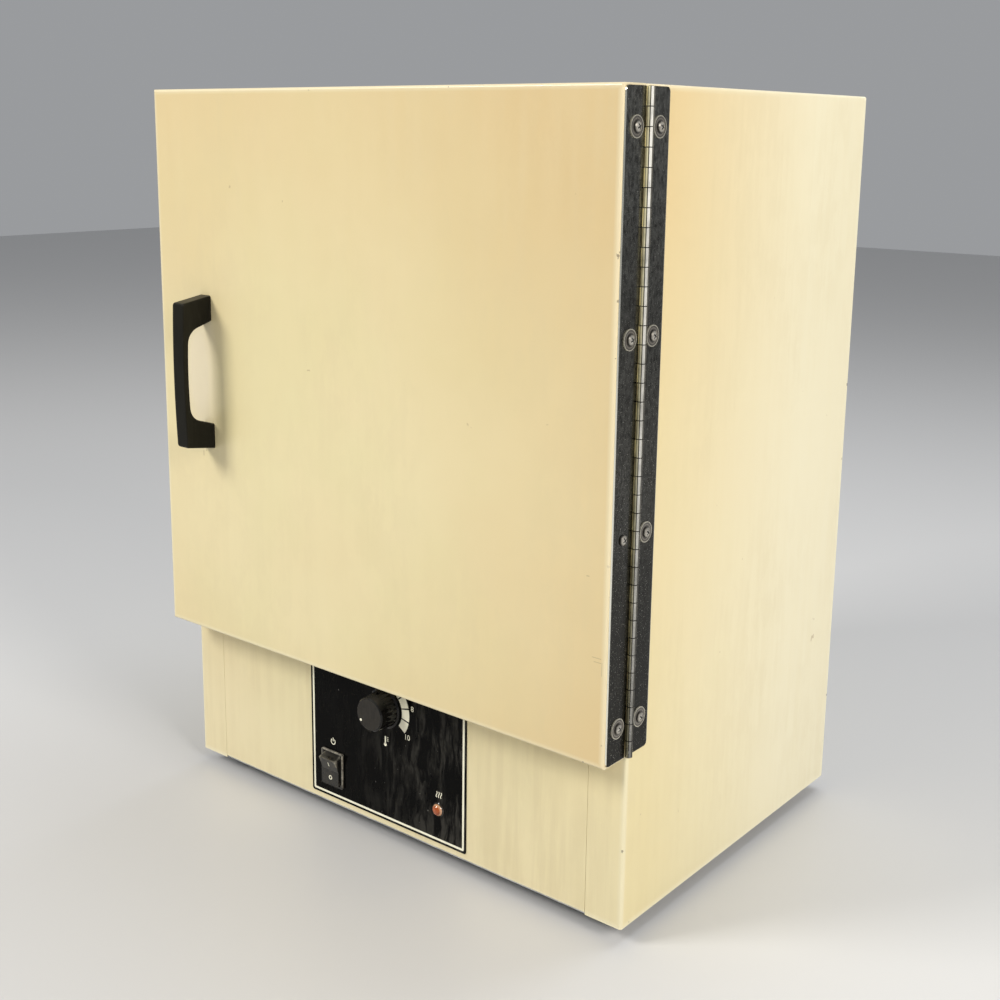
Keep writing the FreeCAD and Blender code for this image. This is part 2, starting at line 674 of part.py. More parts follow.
# Two notched bridges that hold the element off the floor
bridge = new_body("element_bridge_one", kept=False)
bridge_half = element_side + s.bridge_overhang
bridge_top = element_level - chamber_floor
pad(bridge, "XZ", 0, s.bridge_thick, box(-bridge_half, s.fit_gap, bridge_half, bridge_top))
cradle_dia = s.element_dia + s.fit_gap * 2
cut_through(bridge, "XZ", 0, s.bridge_thick,
            *[circle(side * share, bridge_top, cradle_dia)
              for side in (element_side, element_pitch / 2) for share in (-1, 1)])
bridge_rows = (s.element_front + s.bridge_set_in, element_rear - s.bridge_set_in - s.bridge_thick)
group("element_bridges", bridge, [(0, y, chamber_floor) for y in bridge_rows])

# Slotted uprights on the chamber's side walls: channels with their web towards the chamber
upright_rise = chamber_top - s.upright_top_gap - upright_bottom
upright_slots = whole((upright_rise - s.upright_first_slot * 2) / s.upright_pitch) + 1
first_level = upright_bottom + s.upright_first_slot + s.fit_gap * 2 + s.clip_thick
lower_level = first_level + s.upright_pitch * s.lower_shelf_slot
upper_level = first_level + s.upright_pitch * (upright_slots - s.upper_shelf_slot)
upright = new_body("shelf_upright_one", kept=False)
upright_inner = s.upright_deep - s.sheet
upright_half = s.upright_width / 2
pad(upright, "XY", 0, upright_rise,
    outline((0, -upright_half), (s.upright_deep, -upright_half), (s.upright_deep, upright_half),
            (0, upright_half), (0, upright_half - s.sheet), (upright_inner, upright_half - s.sheet),
            (upright_inner, -upright_half + s.sheet), (0, -upright_half + s.sheet)))
slot_half = s.upright_slot_width / 2
opening = cut_through(upright, "YZ", 0, s.upright_deep,
                      box(-slot_half, s.upright_first_slot, slot_half,
                          s.upright_first_slot + s.upright_slot_height))
repeat(upright, opening, "Z_Axis", s.upright_pitch, upright_slots)
upright_x = chamber_half - s.fit_gap
upright_rows = (s.upright_front, liner_back - s.upright_from_back)
group("shelf_uprights", upright,
      [(-upright_x, y, upright_bottom) for y in upright_rows],
      [(upright_x, y, upright_bottom) for y in upright_rows])

# Shelf clips: a ledge with a tongue in the upright's slot and a foot against its web
clip = new_body("shelf_clip_one", kept=False)
tongue = upright_inner - s.fit_gap * 2
clip_face = s.upright_deep + s.fit_gap
pad(clip, "XZ", -s.clip_width / 2, s.clip_width,
    outline((tongue, -s.clip_thick), (clip_face, -s.clip_thick), (clip_face, -s.clip_drop),
            (clip_face + s.clip_thick, -s.clip_drop), (clip_face + s.clip_thick, -s.clip_thick),
            (clip_face + s.clip_reach, -s.clip_thick), (clip_face + s.clip_reach, 0), (tongue, 0)))
clip_rows = [(y, level - s.fit_gap) for level in (lower_level, upper_level)
             for y in upright_rows]
group("shelf_clips", clip, [(-upright_x, y, z) for y, z in clip_rows],
      [(upright_x, y, z) for y, z in clip_rows])


# Wire shelves: a rim of round wire under a row of rods
def shelf_body(name, level):
    body = new_body(name, 0, 0, level)
    half = chamber_half - s.upright_deep - s.shelf_side_gap
    back = liner_back - s.shelf_from_back
    radius = s.shelf_wire / 2
    outer_front, outer_back = s.shelf_front - radius, back + radius
    pad(body, "XY", 0, s.shelf_wire, box(-half - radius, outer_front, half + radius, outer_back))
    round_edges(body, s.shelf_corner, lambda e: runs_along(e, z_way))
    cut_through(body, "XY", 0, s.shelf_wire,
                box(-half + radius, s.shelf_front + radius, half - radius, back - radius))
    round_edges(
        body, s.shelf_corner - s.shelf_wire,
        lambda e: runs_along(e, z_way) and abs(e.Vertexes[0].X) < float(half)
        and float(s.shelf_front) < e.Vertexes[0].Y < float(back),
    )
    round_edges(
        body, s.shelf_wire / 3,
        lambda e: near(e.BoundBox.ZMin, s.shelf_wire) or near(e.BoundBox.ZMax, 0),
    )
    rod_level = s.shelf_wire + s.rod_dia / 2 - s.rod_overlap
    rod_pitch = half * 2 / (s.rod_count + 1)
    rod = pad(body, "XZ", s.shelf_front, back - s.shelf_front,
              circle(-half + rod_pitch, rod_level, s.rod_dia))
    repeat(body, rod, "X_Axis", rod_pitch, s.rod_count)
    return body


shelf_body("lower_shelf", lower_level)
shelf_body("upper_shelf", upper_level)

# Vent: duct through the top, fixed plate with two holes, and a turning damper on a pivot
duct = new_body("vent_duct")
duct_top = s.cabinet_height + s.fit_gap
pad(duct, "XY", chamber_top, duct_top - chamber_top,
    circle(0, vent_y, s.vent_duct_dia), circle(0, vent_y, s.vent_duct_dia - s.sheet * 2))
plate = new_body("vent_plate", 0, vent_y, s.cabinet_height + s.fit_gap)
vent_holes = [circle(s.vent_hole_offset, 0, s.vent_hole_dia), circle(-s.vent_hole_offset, 0, s.vent_hole_dia)]
pad(plate, "XY", 0, s.vent_plate_thick, circle(0, 0, s.vent_plate_dia),
    circle(0, 0, s.pivot_dia + s.shaft_clearance * 2), *vent_holes)
damper = new_body("vent_damper", 0, vent_y, s.cabinet_height + s.vent_plate_thick + s.fit_gap * 2)
pad(damper, "XY", 0, s.damper_thick, circle(0, 0, s.damper_dia),
    circle(0, 0, s.pivot_dia + s.shaft_clearance * 2), *vent_holes)
tab_half = s.damper_tab_width / 2
tab_back = s.damper_dia / 2 - s.sheet
pad(damper, "XZ", -tab_back, s.damper_thick, box(-tab_half, 0, tab_half, s.damper_tab))
pivot = new_body("vent_pivot", 0, vent_y, s.cabinet_height + s.fit_gap)
pivot_collar = s.vent_plate_thick + s.damper_thick + s.fit_gap * 2
revolve(
    pivot, "XZ", "V_Axis",
    outline((0, -s.sheet - s.fit_gap), (s.pivot_head_dia / 2, -s.sheet - s.fit_gap),
            (s.pivot_head_dia / 2, -s.fit_gap / 3), (s.pivot_dia / 2, -s.fit_gap / 3),
            (s.pivot_dia / 2, pivot_collar), (s.pivot_head_dia / 2, pivot_collar),
            (s.pivot_head_dia / 2, pivot_collar + s.pivot_head / 2),
            (0, pivot_collar + s.pivot_head, -dome(s.pivot_head_dia / 2, s.pivot_head / 2))),
)

# Thermostat with its bush through the panel; the shaft turns in it
thermostat = new_body("thermostat_housing", 0, 0, s.dial_height)
case_front = s.sheet + s.fit_gap
half_tall = s.thermostat_height / 2
half_wide = s.thermostat_width / 2
pad(thermostat, "XZ", case_front, s.thermostat_deep, box(-half_wide, -half_tall, half_wide, half_tall))
round_edges(thermostat, s.thermostat_corner, lambda e: runs_along(e, y_way))
pad(thermostat, "XZ", -s.fit_gap, case_front + s.fit_gap + s.sheet, circle(0, 0, s.shaft_bush_dia))
shaft_bore_dia = s.shaft_dia + s.shaft_clearance * 2
cut(thermostat, "XZ", -s.fit_gap - s.cut_overrun, s.shaft_in + s.cut_overrun + s.fit_gap * 2,
    circle(0, 0, shaft_bore_dia))
tail_x = s.thermostat_width / 4
cut(thermostat, "XZ", case_front + s.thermostat_deep - s.sheet, s.sheet + s.cut_overrun,
    circle(tail_x, 0, s.capillary_dia + s.fit_gap * 2))

shaft = new_body("thermostat_shaft", 0, 0, s.dial_height)
shaft_front = knob_back - knob_deep + s.cap_thick + s.knob_socket + s.fit_gap
pad(shaft, "XZ", shaft_front, s.shaft_in - shaft_front, circle(0, 0, s.shaft_dia))
flat_at = s.shaft_dia / 2 - s.shaft_flat
cut(shaft, "XZ", shaft_front - s.cut_overrun, -shaft_front - s.sheet,
    box(-s.shaft_dia, flat_at, s.shaft_dia, s.shaft_dia))


# Capillary: from the thermostat back, down the control space's rear and up into the bulb
def capillary_shape():
    point = FreeCAD.Vector
    socket_end = case_front + s.thermostat_deep - s.sheet + s.fit_gap
    start = point(float(tail_x), float(socket_end), float(s.dial_height))
    end = point(float(bulb_x), float(bulb_y), float(bulb_bottom - s.fit_gap))
    corner = point(start.x, start.y + float(s.thermostat_deep), start.z)
    low = point(end.x, end.y, start.z)
    route = [start, corner, low, end]
    edges = []
    at = start
    for here, after in zip(route[1:-1], route[2:]):
        run_in, run_out = here - at, after - here
        turn = run_in.getAngle(run_out)
        reach = min(run_in.Length, run_out.Length, float(s.thermostat_deep) * 2) / 2
        first = here - run_in.normalize() * reach
        second = here + run_out.normalize() * reach
        radius = reach / math.tan(turn / 2)
        chord_middle = (first + second) / 2
        inward = (chord_middle - here).normalize()
        middle = here + inward * (radius / math.cos(turn / 2) - radius)
        edges.append(Part.LineSegment(at, first))
        edges.append(Part.Arc(first, middle, second))
        at = second
    edges.append(Part.LineSegment(at, end))
    return sweep(edges, start, point(0, 1, 0), s.capillary_dia)


code_piece("capillary_tube", capillary_shape())

bulb = new_body("sensing_bulb", bulb_x, bulb_y, bulb_bottom)
bulb_radius = s.bulb_dia / 2
revolve(
    bulb, "XZ", "V_Axis",
    outline((0, 0), (bulb_radius / 2, 0), (bulb_radius, bulb_radius),
            (bulb_radius, s.bulb_length - bulb_radius),
            (0, s.bulb_length, -dome(bulb_radius, bulb_radius))),
)
# Spring clips that hold the bulb off the back wall
bulb_clip = new_body("bulb_clip_one", kept=False)
grip = bulb_radius + s.fit_gap
clip_back = liner_back - s.fit_gap - bulb_y
pad(bulb_clip, "XY", 0, s.bulb_clip_width, circle(0, 0, grip * 2 + s.sheet * 2), circle(0, 0, grip * 2))
pad(bulb_clip, "XY", 0, s.bulb_clip_width, box(-grip, grip + s.sheet / 2, grip, clip_back))
group("bulb_clips", bulb_clip, [
    (bulb_x, bulb_y, bulb_bottom + s.bulb_length / 5),
    (bulb_x, bulb_y, bulb_bottom + s.bulb_length * 3 / 5),
])

# Knob: thin skirt, fluted body, socket for the shaft, and a metal cap on its face
knob = new_body("temperature_knob", 0, knob_back, s.dial_height)
skirt_radius, knob_radius = s.knob_skirt_dia / 2, s.knob_dia / 2
face_radius = s.knob_face_dia / 2
cap_radius = s.cap_dia / 2
revolve(
    knob, "XY", "V_Axis",
    outline((shaft_bore_dia / 2, 0), (skirt_radius, 0), (skirt_radius, -s.knob_skirt / 2),
            (knob_radius, -s.knob_skirt), (face_radius, -knob_deep + s.knob_skirt / 2),
            (face_radius - s.knob_skirt / 2, -knob_deep), (cap_radius, -knob_deep),
            (cap_radius, -knob_deep + s.cap_thick), (0, -knob_deep + s.cap_thick),
            (0, -knob_deep + s.cap_thick + s.knob_socket),
            (shaft_bore_dia / 2, -knob_deep + s.cap_thick + s.knob_socket)),
)
flute = cut(knob, "XZ", -knob_deep - s.cut_overrun, knob_deep + s.cut_overrun - s.knob_skirt,
            circle(knob_radius + s.flute_dia / 8, 0, s.flute_dia))
repeat_round(knob, flute, "Y_Axis", s.flute_count)
cut(knob, "XY", 0, knob_radius, circle(0, -s.grub_set, s.grub_dia + s.fit_gap / 3))
cap = new_body("knob_cap", 0, knob_back, s.dial_height)
pad(cap, "XZ", -knob_deep, s.cap_thick - s.fit_gap / 10, circle(0, 0, s.cap_dia - s.fit_gap / 3))
grub = new_body("knob_grub_screw", 0, knob_back, s.dial_height)
pad(grub, "XY", shaft_bore_dia / 2, s.grub_length, circle(0, -s.grub_set, s.grub_dia))

# Power switch: bezel and housing with a well, blades behind, and the rocker in it
switch = new_body("switch_housing", -s.switch_left, 0, s.switch_height)
bezel_face = label_face - s.bezel_thick
half_bezel, tall_bezel = s.bezel_width / 2, s.bezel_tall / 2
pad(switch, "XZ", bezel_face, s.bezel_thick, box(-half_bezel, -tall_bezel, half_bezel, tall_bezel))
round_edges(switch, s.bezel_corner, lambda e: runs_along(e, y_way))
pad(switch, "XZ", label_face, s.switch_body_deep,
    box(-s.switch_body_width / 2, -s.switch_body_tall / 2, s.switch_body_width / 2, s.switch_body_tall / 2))
cut(switch, "XZ", bezel_face - s.cut_overrun, s.rocker_well_deep + s.cut_overrun,
    box(-s.rocker_well_width / 2, -s.rocker_well_tall / 2, s.rocker_well_width / 2, s.rocker_well_tall / 2))
pin_hole_dia = s.rocker_pin_dia + s.fit_gap * 2
cut_through(switch, "YZ", -s.switch_body_width / 2, s.switch_body_width,
            circle(s.rocker_pivot, 0, pin_hole_dia))
blade = pad(switch, "XZ", label_face + s.switch_body_deep, s.blade_length,
            box(-s.blade_width / 2, -s.blade_pitch, s.blade_width / 2, -s.blade_pitch + s.blade_thick))
repeat(switch, blade, "Z_Axis", s.blade_pitch, 3)

rocker = new_body("power_rocker", -s.switch_left, s.rocker_pivot, s.switch_height)
rocker.setExpression("Placement.Rotation.Axis.x", "1")
rocker.setExpression("Placement.Rotation.Axis.y", "0")
rocker.setExpression("Placement.Rotation.Axis.z", "0")
rocker.setExpression("Placement.Rotation.Angle", "Sizes.rocker_tilt")
end_rise_share = math.sqrt(1 - (float(s.rocker_end) / float(s.rocker_radius)) ** 2)
rear_rise_share = math.sqrt(1 - (float(s.rocker_rear) / float(s.rocker_radius)) ** 2)
end_z = s.rocker_radius * end_rise_share
rear_z = s.rocker_radius * rear_rise_share
pad(rocker, "YZ", -s.rocker_width / 2, s.rocker_width,
    outline((s.rocker_rear, -rear_z), (s.rocker_rear, rear_z), (-s.rocker_end, end_z),
            (-s.rocker_middle, 0), (-s.rocker_end, -end_z)))
pin_half = s.rocker_width / 2 + s.rocker_pin_reach
pad(rocker, "YZ", -pin_half, pin_half * 2, circle(0, 0, s.rocker_pin_dia))

# Pilot lamp: lens with a domed head, and its holder behind the panel
lens = new_body("lamp_lens", s.lamp_right, label_face, s.lamp_height)
lamp_radius, neck_radius = s.lamp_dia / 2, s.lamp_neck_dia / 2
dome_radius = lamp_radius - s.lamp_rim / 2
revolve(
    lens, "XY", "V_Axis",
    outline((0, s.lamp_neck), (0, -s.lamp_rim - s.lamp_dome),
            (dome_radius, -s.lamp_rim, -dome(dome_radius, s.lamp_dome)),
            (lamp_radius, -s.lamp_rim / 2), (lamp_radius, 0), (neck_radius, 0), (neck_radius, s.lamp_neck)),
)
holder = new_body("lamp_holder", s.lamp_right, s.sheet + s.fit_gap, s.lamp_height)
pad(holder, "XZ", 0, s.lamp_body_deep, circle(0, 0, s.lamp_body_dia))
cut(holder, "XZ", -s.cut_overrun, s.lamp_neck + s.cut_overrun, circle(0, 0, s.lamp_neck_dia + s.fit_gap * 2))
blade = pad(holder, "XZ", s.lamp_body_deep, s.blade_length / 2,
            box(-s.blade_width / 4, -s.blade_pitch / 4 - s.blade_thick,
                s.blade_width / 4, -s.blade_pitch / 4))
repeat(holder, blade, "Z_Axis", s.blade_pitch / 2, 2)

# Terminal block on the base plate
block = new_body("terminal_block", 0, s.cabinet_depth - s.block_from_back, s.sheet)
pad(block, "XY", 0, s.block_tall, box(-s.block_width / 2, 0, s.block_width / 2, s.block_deep))
way_pitch = s.block_width / s.block_ways
for row_y in (s.block_deep / 4, s.block_deep * 3 / 4):
    well = cut(block, "XY", s.block_tall - s.block_screw_dia, s.block_screw_dia + s.cut_overrun,
               circle(-s.block_width / 2 + way_pitch / 2, row_y, s.block_screw_dia))
    repeat(block, well, "X_Axis", way_pitch, s.block_ways)

# Cord bushing in the rear panel
bushing = new_body("cord_bushing", bushing_x, s.cabinet_depth, s.bushing_height)
bore_radius = s.bushing_bore_dia / 2
revolve(
    bushing, "XY", "V_Axis",
    outline((bore_radius, -s.bushing_inner), (s.bushing_dia / 2, -s.bushing_inner),
            (s.bushing_dia / 2, s.sheet + s.fit_gap / 3), (s.bushing_flange_dia / 2, s.sheet + s.fit_gap / 3),
            (s.bushing_flange_dia / 2, s.sheet + s.bushing_proud / 2),
            (s.bushing_dia / 2, s.sheet + s.bushing_proud), (bore_radius, s.sheet + s.bushing_proud)),
)

# Feet and their screws
foot = new_body("foot_one", kept=False)
revolve(
    foot, "XZ", "V_Axis",
    outline((s.foot_bore_dia / 2, 0), (s.foot_bore_dia / 2, -s.foot_height + s.foot_recess),
            (s.foot_recess_dia / 2, -s.foot_height + s.foot_recess), (s.foot_recess_dia / 2, -s.foot_height),
            (s.foot_dia / 2 - s.sheet, -s.foot_height), (s.foot_dia / 2, -s.foot_height + s.sheet),
            (s.foot_top_dia / 2, 0)),
)
group("feet", foot, [(x, y, 0) for x, y in foot_places])
foot_screw = new_body("foot_screw_one", kept=False)
foot_shank = s.foot_bore_dia / 2 - s.fit_gap
head_radius = s.foot_recess_dia / 2 - s.fit_gap * 5
head_top = -s.foot_height + s.foot_recess
revolve(
    foot_screw, "XZ", "V_Axis",
    outline((0, head_top - s.screw_head * 3 / 2), (head_radius, head_top - s.screw_head),
            (head_radius, head_top), (foot_shank, head_top), (foot_shank, s.screw_length),
            (0, s.screw_length)),
)
group("foot_screws", foot_screw, [(x, y, 0) for x, y in foot_places])

# Panel screws
rear_screw = panel_screw("rear_screw_one", s.screw_head)
rear_screw_x = half_width - s.screw_inset
rear_screw_z = [s.screw_inset * 4, s.cabinet_height / 2, s.cabinet_height - s.screw_inset * 4]
rear_places = [(x, z) for x in (-rear_screw_x, rear_screw_x) for z in rear_screw_z]
rear_places += [(x, s.cabinet_height - s.screw_inset) for x in (-chamber_half, 0, chamber_half)]
for target, start in ((rear, s.cabinet_depth), (wrap, s.cabinet_depth - s.sheet)):
    cut_through(target, "XZ", start, s.sheet,
                *[circle(x, z, s.screw_dia + s.fit_gap * 2) for x, z in rear_places])
group("rear_screws", rear_screw, [(x, s.cabinet_depth + s.sheet, z) for x, z in rear_places])

# Door: outer pan with its edge bent back and returned, inner panel, blanket and gasket
pan = new_body("door_pan")
pad(pan, "XZ", door_front, s.door_thick, box(-half_width, door_bottom, half_width, s.cabinet_height))
round_edges(
    pan, s.door_bend,
    lambda e: near(e.BoundBox.YMin, door_front) and near(e.BoundBox.YMax, door_front),
)
skin_inside = half_width - s.door_skin
cut(pan, "XZ", door_front + s.door_skin, s.door_thick - s.door_skin * 2,
    box(-skin_inside, door_bottom + s.door_skin, skin_inside, s.cabinet_height - s.door_skin))
return_half = half_width - s.door_return
cut_through(pan, "XZ", door_back - s.door_skin, s.door_skin,
            box(-return_half, door_bottom + s.door_return, return_half, s.cabinet_height - s.door_return))
hole = cut_through(pan, "YZ", skin_inside, s.door_skin,
                   circle(door_screw_y, hinge_screw_first, s.screw_hole_dia))
repeat(pan, hole, "Z_Axis", hinge_screw_pitch, s.hinge_screw_rows)

inner_half = half_width - s.inner_panel_inset
inner_low = door_bottom + s.inner_panel_inset
inner_high = s.cabinet_height - s.inner_panel_inset
inner_panel = new_body("door_inner_panel")
pad(inner_panel, "XZ", door_back, s.sheet, box(-inner_half, inner_low, inner_half, inner_high))

door_screw = panel_screw("door_screw_one", s.screw_head * 2 / 3)
door_screw_x = inner_half - s.screw_inset / 2
door_screw_places = [(x, z) for x in (-door_screw_x, door_screw_x)
                     for z in (inner_low + s.screw_inset, inner_high - s.screw_inset)]
door_screw_places += [(x, z) for x in (-chamber_half / 2, chamber_half / 2)
                      for z in (inner_low + s.screw_inset / 2, inner_high - s.screw_inset / 2)]
for target, start in ((inner_panel, door_back), (pan, door_back - s.door_skin)):
    cut_through(target, "XZ", start, s.sheet,
                *[circle(x, z, s.screw_dia + s.fit_gap * 2) for x, z in door_screw_places])
group("door_screws", door_screw, [(x, inner_panel_back, z) for x, z in door_screw_places])

blanket = new_body("door_insulation")
blanket_half = half_width - s.door_blanket_inset
pad(blanket, "XZ", door_back - s.door_skin - s.fit_gap - s.door_blanket_thick, s.door_blanket_thick,
    box(-blanket_half, door_bottom + s.door_blanket_inset,
        blanket_half, s.cabinet_height - s.door_blanket_inset))
cut_through(blanket, "XZ", door_back - s.door_skin - s.screw_length, s.screw_length,
            *[circle(x, z, s.screw_dia + s.fit_gap * 4) for x, z in door_screw_places])

gasket = new_body("door_gasket")
gasket_thick = s.door_gap - s.sheet - s.fit_gap
gasket_in_x = chamber_half + s.gasket_offset
gasket_low = chamber_floor - s.gasket_offset
gasket_high = chamber_top + s.gasket_offset
pad(gasket, "XZ", inner_panel_back, gasket_thick,
    box(-gasket_in_x - s.gasket_width, gasket_low - s.gasket_width,
        gasket_in_x + s.gasket_width, gasket_high + s.gasket_width),
    box(-gasket_in_x, gasket_low, gasket_in_x, gasket_high))
round_edges(gasket, s.gasket_round, lambda e: near(e.BoundBox.YMin, -s.fit_gap))

# Magnetic catch on the front frame and its striker on the door
magnet = new_body("catch_magnet", catch_x, 0, door_middle)
pad(magnet, "XZ", -s.catch_proud, s.catch_deep + s.catch_proud,
    box(-s.catch_width / 2, -s.catch_tall / 2, s.catch_width / 2, s.catch_tall / 2))
striker = new_body("catch_striker", catch_x, 0, door_middle)
pad(striker, "XZ", inner_panel_back, s.striker_thick - s.fit_gap,
    box(-s.striker_width / 2, -s.striker_tall / 2, s.striker_width / 2, s.striker_tall / 2))
round_edges(striker, s.corner_bend, lambda e: runs_along(e, y_way))
cut(doc.getObject("insulation_left"), "XZ", s.blanket_front - s.cut_overrun,
    s.catch_deep - s.blanket_front + s.cut_overrun + s.fit_gap, catch_hole)

# Continuous hinge: two leaves whose knuckles interleave round one pin
leaf_start = s.barrel_dia / 2 + s.fit_gap


def hinge_leaf(name, side, first_knuckle):
    # side is 1 for the leaf behind the axis, -1 for the leaf in front of it
    body = new_body(name, hinge_x, hinge_y, hinge_bottom)
    outer = -s.barrel_dia / 2
    inner = outer + s.leaf_thick
    pad(body, "XY", 0, hinge_length,
        box(outer, leaf_start * side, inner, s.leaf_width * side) if side > 0 else
        box(outer, s.leaf_width * side, inner, leaf_start * side))
    edge = float(s.leaf_width) * side
    round_edges(body, s.leaf_corner, lambda e: runs_along(e, x_way) and near(e.Vertexes[0].Y, edge))
    screws = cut_through(body, "YZ", outer, s.leaf_thick,
                         circle(s.hinge_screw_offset * side, s.hinge_screw_end, s.screw_hole_dia))
    repeat(body, screws, "Z_Axis", hinge_screw_pitch, s.hinge_screw_rows)
    start = s.knuckle_pitch * first_knuckle + s.knuckle_gap / 2
    tall = s.knuckle_pitch - s.knuckle_gap
    bore = s.pin_dia / 2 + s.pin_clearance
    tab = pad(body, "XY", start, tall,
              box(outer, 0, inner, (leaf_start + s.leaf_thick) * side) if side > 0 else
              box(outer, (leaf_start + s.leaf_thick) * side, inner, 0))
    repeat(body, tab, "Z_Axis", s.knuckle_pitch * 2, knuckle_pairs)
    roll = pad(body, "XY", start, tall, circle(0, 0, s.barrel_dia), circle(0, 0, bore * 2))
    repeat(body, roll, "Z_Axis", s.knuckle_pitch * 2, knuckle_pairs)
    return body


hinge_leaf("hinge_frame_leaf", 1, 0)
hinge_leaf("hinge_door_leaf", -1, 1)
pin = new_body("hinge_pin", hinge_x, hinge_y, hinge_bottom)
pad(pin, "XY", 0, hinge_length, circle(0, 0, s.pin_dia))

washer = new_body("hinge_washer_one", kept=False)
pad(washer, "YZ", 0, s.washer_thick, circle(0, 0, s.washer_dia), circle(0, 0, s.screw_hole_dia))
hinge_screw = new_body("hinge_screw_one", kept=False)
shank_radius = s.hinge_shank_dia / 2
revolve(
    hinge_screw, "XY", "H_Axis",
    outline((-s.hinge_shank, 0), (s.hinge_head, 0),
            (s.hinge_head_edge, s.hinge_head_dia / 2,
             -dome(s.hinge_head_dia / 2, s.hinge_head - s.hinge_head_edge)),
            (0, s.hinge_head_dia / 2), (0, shank_radius), (-s.hinge_shank, shank_radius)),
)
rows = [hinge_screw_first + hinge_screw_pitch * i for i in range(round(float(s.hinge_screw_rows)))]
bare_row = 1
for name, y in (("frame", frame_screw_y), ("door", door_screw_y)):
    washers = []
    screws = []
    for i, z in enumerate(rows):
        with_washer = name == "frame" or i != bare_row
        if with_washer:
            washers.append((leaf_face, y, z))
        screws.append((leaf_face + s.washer_thick if with_washer else leaf_face, y, z))
    group(f"hinge_washers_{name}", washer, washers)
    group(f"hinge_screws_{name}", hinge_screw, screws)

# Bow handle: tapered legs and a slightly bowed bar, in one profile
handle = new_body("door_handle", handle_x, door_front, door_middle)
foot_half, face_half = s.handle_foot_span / 2, s.handle_face_span / 2
pad(handle, "YZ", 0, s.handle_width,
    outline((0, -foot_half), (0, foot_half), (-s.handle_reach, face_half),
            (-s.handle_reach, -face_half, -s.handle_bow)))
inner_foot, inner_face = s.handle_inner_foot / 2, s.handle_inner_face / 2
bar_inside = -s.handle_reach + s.handle_bar - s.handle_bow
cut_through(handle, "YZ", 0, s.handle_width,
            outline((s.cut_overrun, -inner_foot), (s.cut_overrun, inner_foot), (bar_inside, inner_face),
                    (bar_inside, -inner_face)))
round_edges(handle, s.handle_fillet, lambda e: runs_along(e, x_way) and near(e.Vertexes[0].Y, bar_inside))
handle_screw_z = foot_half - s.handle_screw_inset
tapped = s.handle_screw_dia + s.shaft_clearance * 2
cut(handle, "XZ", -s.handle_screw_length, s.handle_screw_length + s.cut_overrun,
    circle(s.handle_width / 2, handle_screw_z, tapped), circle(s.handle_width / 2, -handle_screw_z, tapped))
handle_screw_x = handle_x + s.handle_width / 2
handle_screw_holes = [circle(handle_screw_x, door_middle + handle_screw_z * side, s.screw_hole_dia)
                      for side in (-1, 1)]
cut_through(pan, "XZ", door_front, s.door_skin, *handle_screw_holes)
handle_screw = new_body("handle_screw_one", kept=False)
handle_shank = s.handle_screw_dia / 2
revolve(
    handle_screw, "XY", "V_Axis",
    outline((0, s.screw_head), (0, -s.handle_screw_length + s.sheet),
            (handle_shank, -s.handle_screw_length + s.sheet), (handle_shank, 0),
            (s.screw_head_dia / 2, 0), (s.screw_head_dia / 2, s.screw_head)),
)
group("handle_screws", handle_screw,
      [(handle_screw_x, door_front + s.door_skin, door_middle + handle_screw_z * side) for side in (-1, 1)])

doc.recompute()
for thing in doc.Objects:
    if "Invalid" in thing.State or "Error" in thing.State:
        raise SystemExit(f"{thing.Label} is {thing.State}")
for node in nodes:
    if node.Shape.isNull() or not node.Shape.isValid():
        raise SystemExit(f"{node.Label} has no valid shape")
os.makedirs("parts", exist_ok=True)
for node in nodes:
    node.Shape.exportStep(f"parts/{node.Label}.step")
print(len(nodes), "nodes")
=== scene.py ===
import math

import bmesh
import bpy
import numpy as np
from mathutils import Matrix, Vector


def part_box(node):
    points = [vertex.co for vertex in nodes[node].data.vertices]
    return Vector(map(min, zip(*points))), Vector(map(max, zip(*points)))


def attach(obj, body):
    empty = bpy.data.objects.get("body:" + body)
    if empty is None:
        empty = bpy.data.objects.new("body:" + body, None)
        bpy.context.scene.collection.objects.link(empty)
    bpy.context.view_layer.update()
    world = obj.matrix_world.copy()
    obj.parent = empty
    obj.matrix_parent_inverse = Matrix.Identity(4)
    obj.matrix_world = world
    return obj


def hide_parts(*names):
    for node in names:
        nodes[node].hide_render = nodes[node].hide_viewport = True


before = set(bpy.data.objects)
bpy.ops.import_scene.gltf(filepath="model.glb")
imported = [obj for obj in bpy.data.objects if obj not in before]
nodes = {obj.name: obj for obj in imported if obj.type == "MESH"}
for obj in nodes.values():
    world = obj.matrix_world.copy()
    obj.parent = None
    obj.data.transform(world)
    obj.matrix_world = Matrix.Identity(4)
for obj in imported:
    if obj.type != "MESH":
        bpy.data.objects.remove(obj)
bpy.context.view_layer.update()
print("frame loaded", len(nodes), "nodes")

# Where the cabinet's front plane and lower edge lie, read off its wrap
wrapLow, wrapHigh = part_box("outer_wrap")
frontY, baseZ = wrapLow.y, wrapLow.z


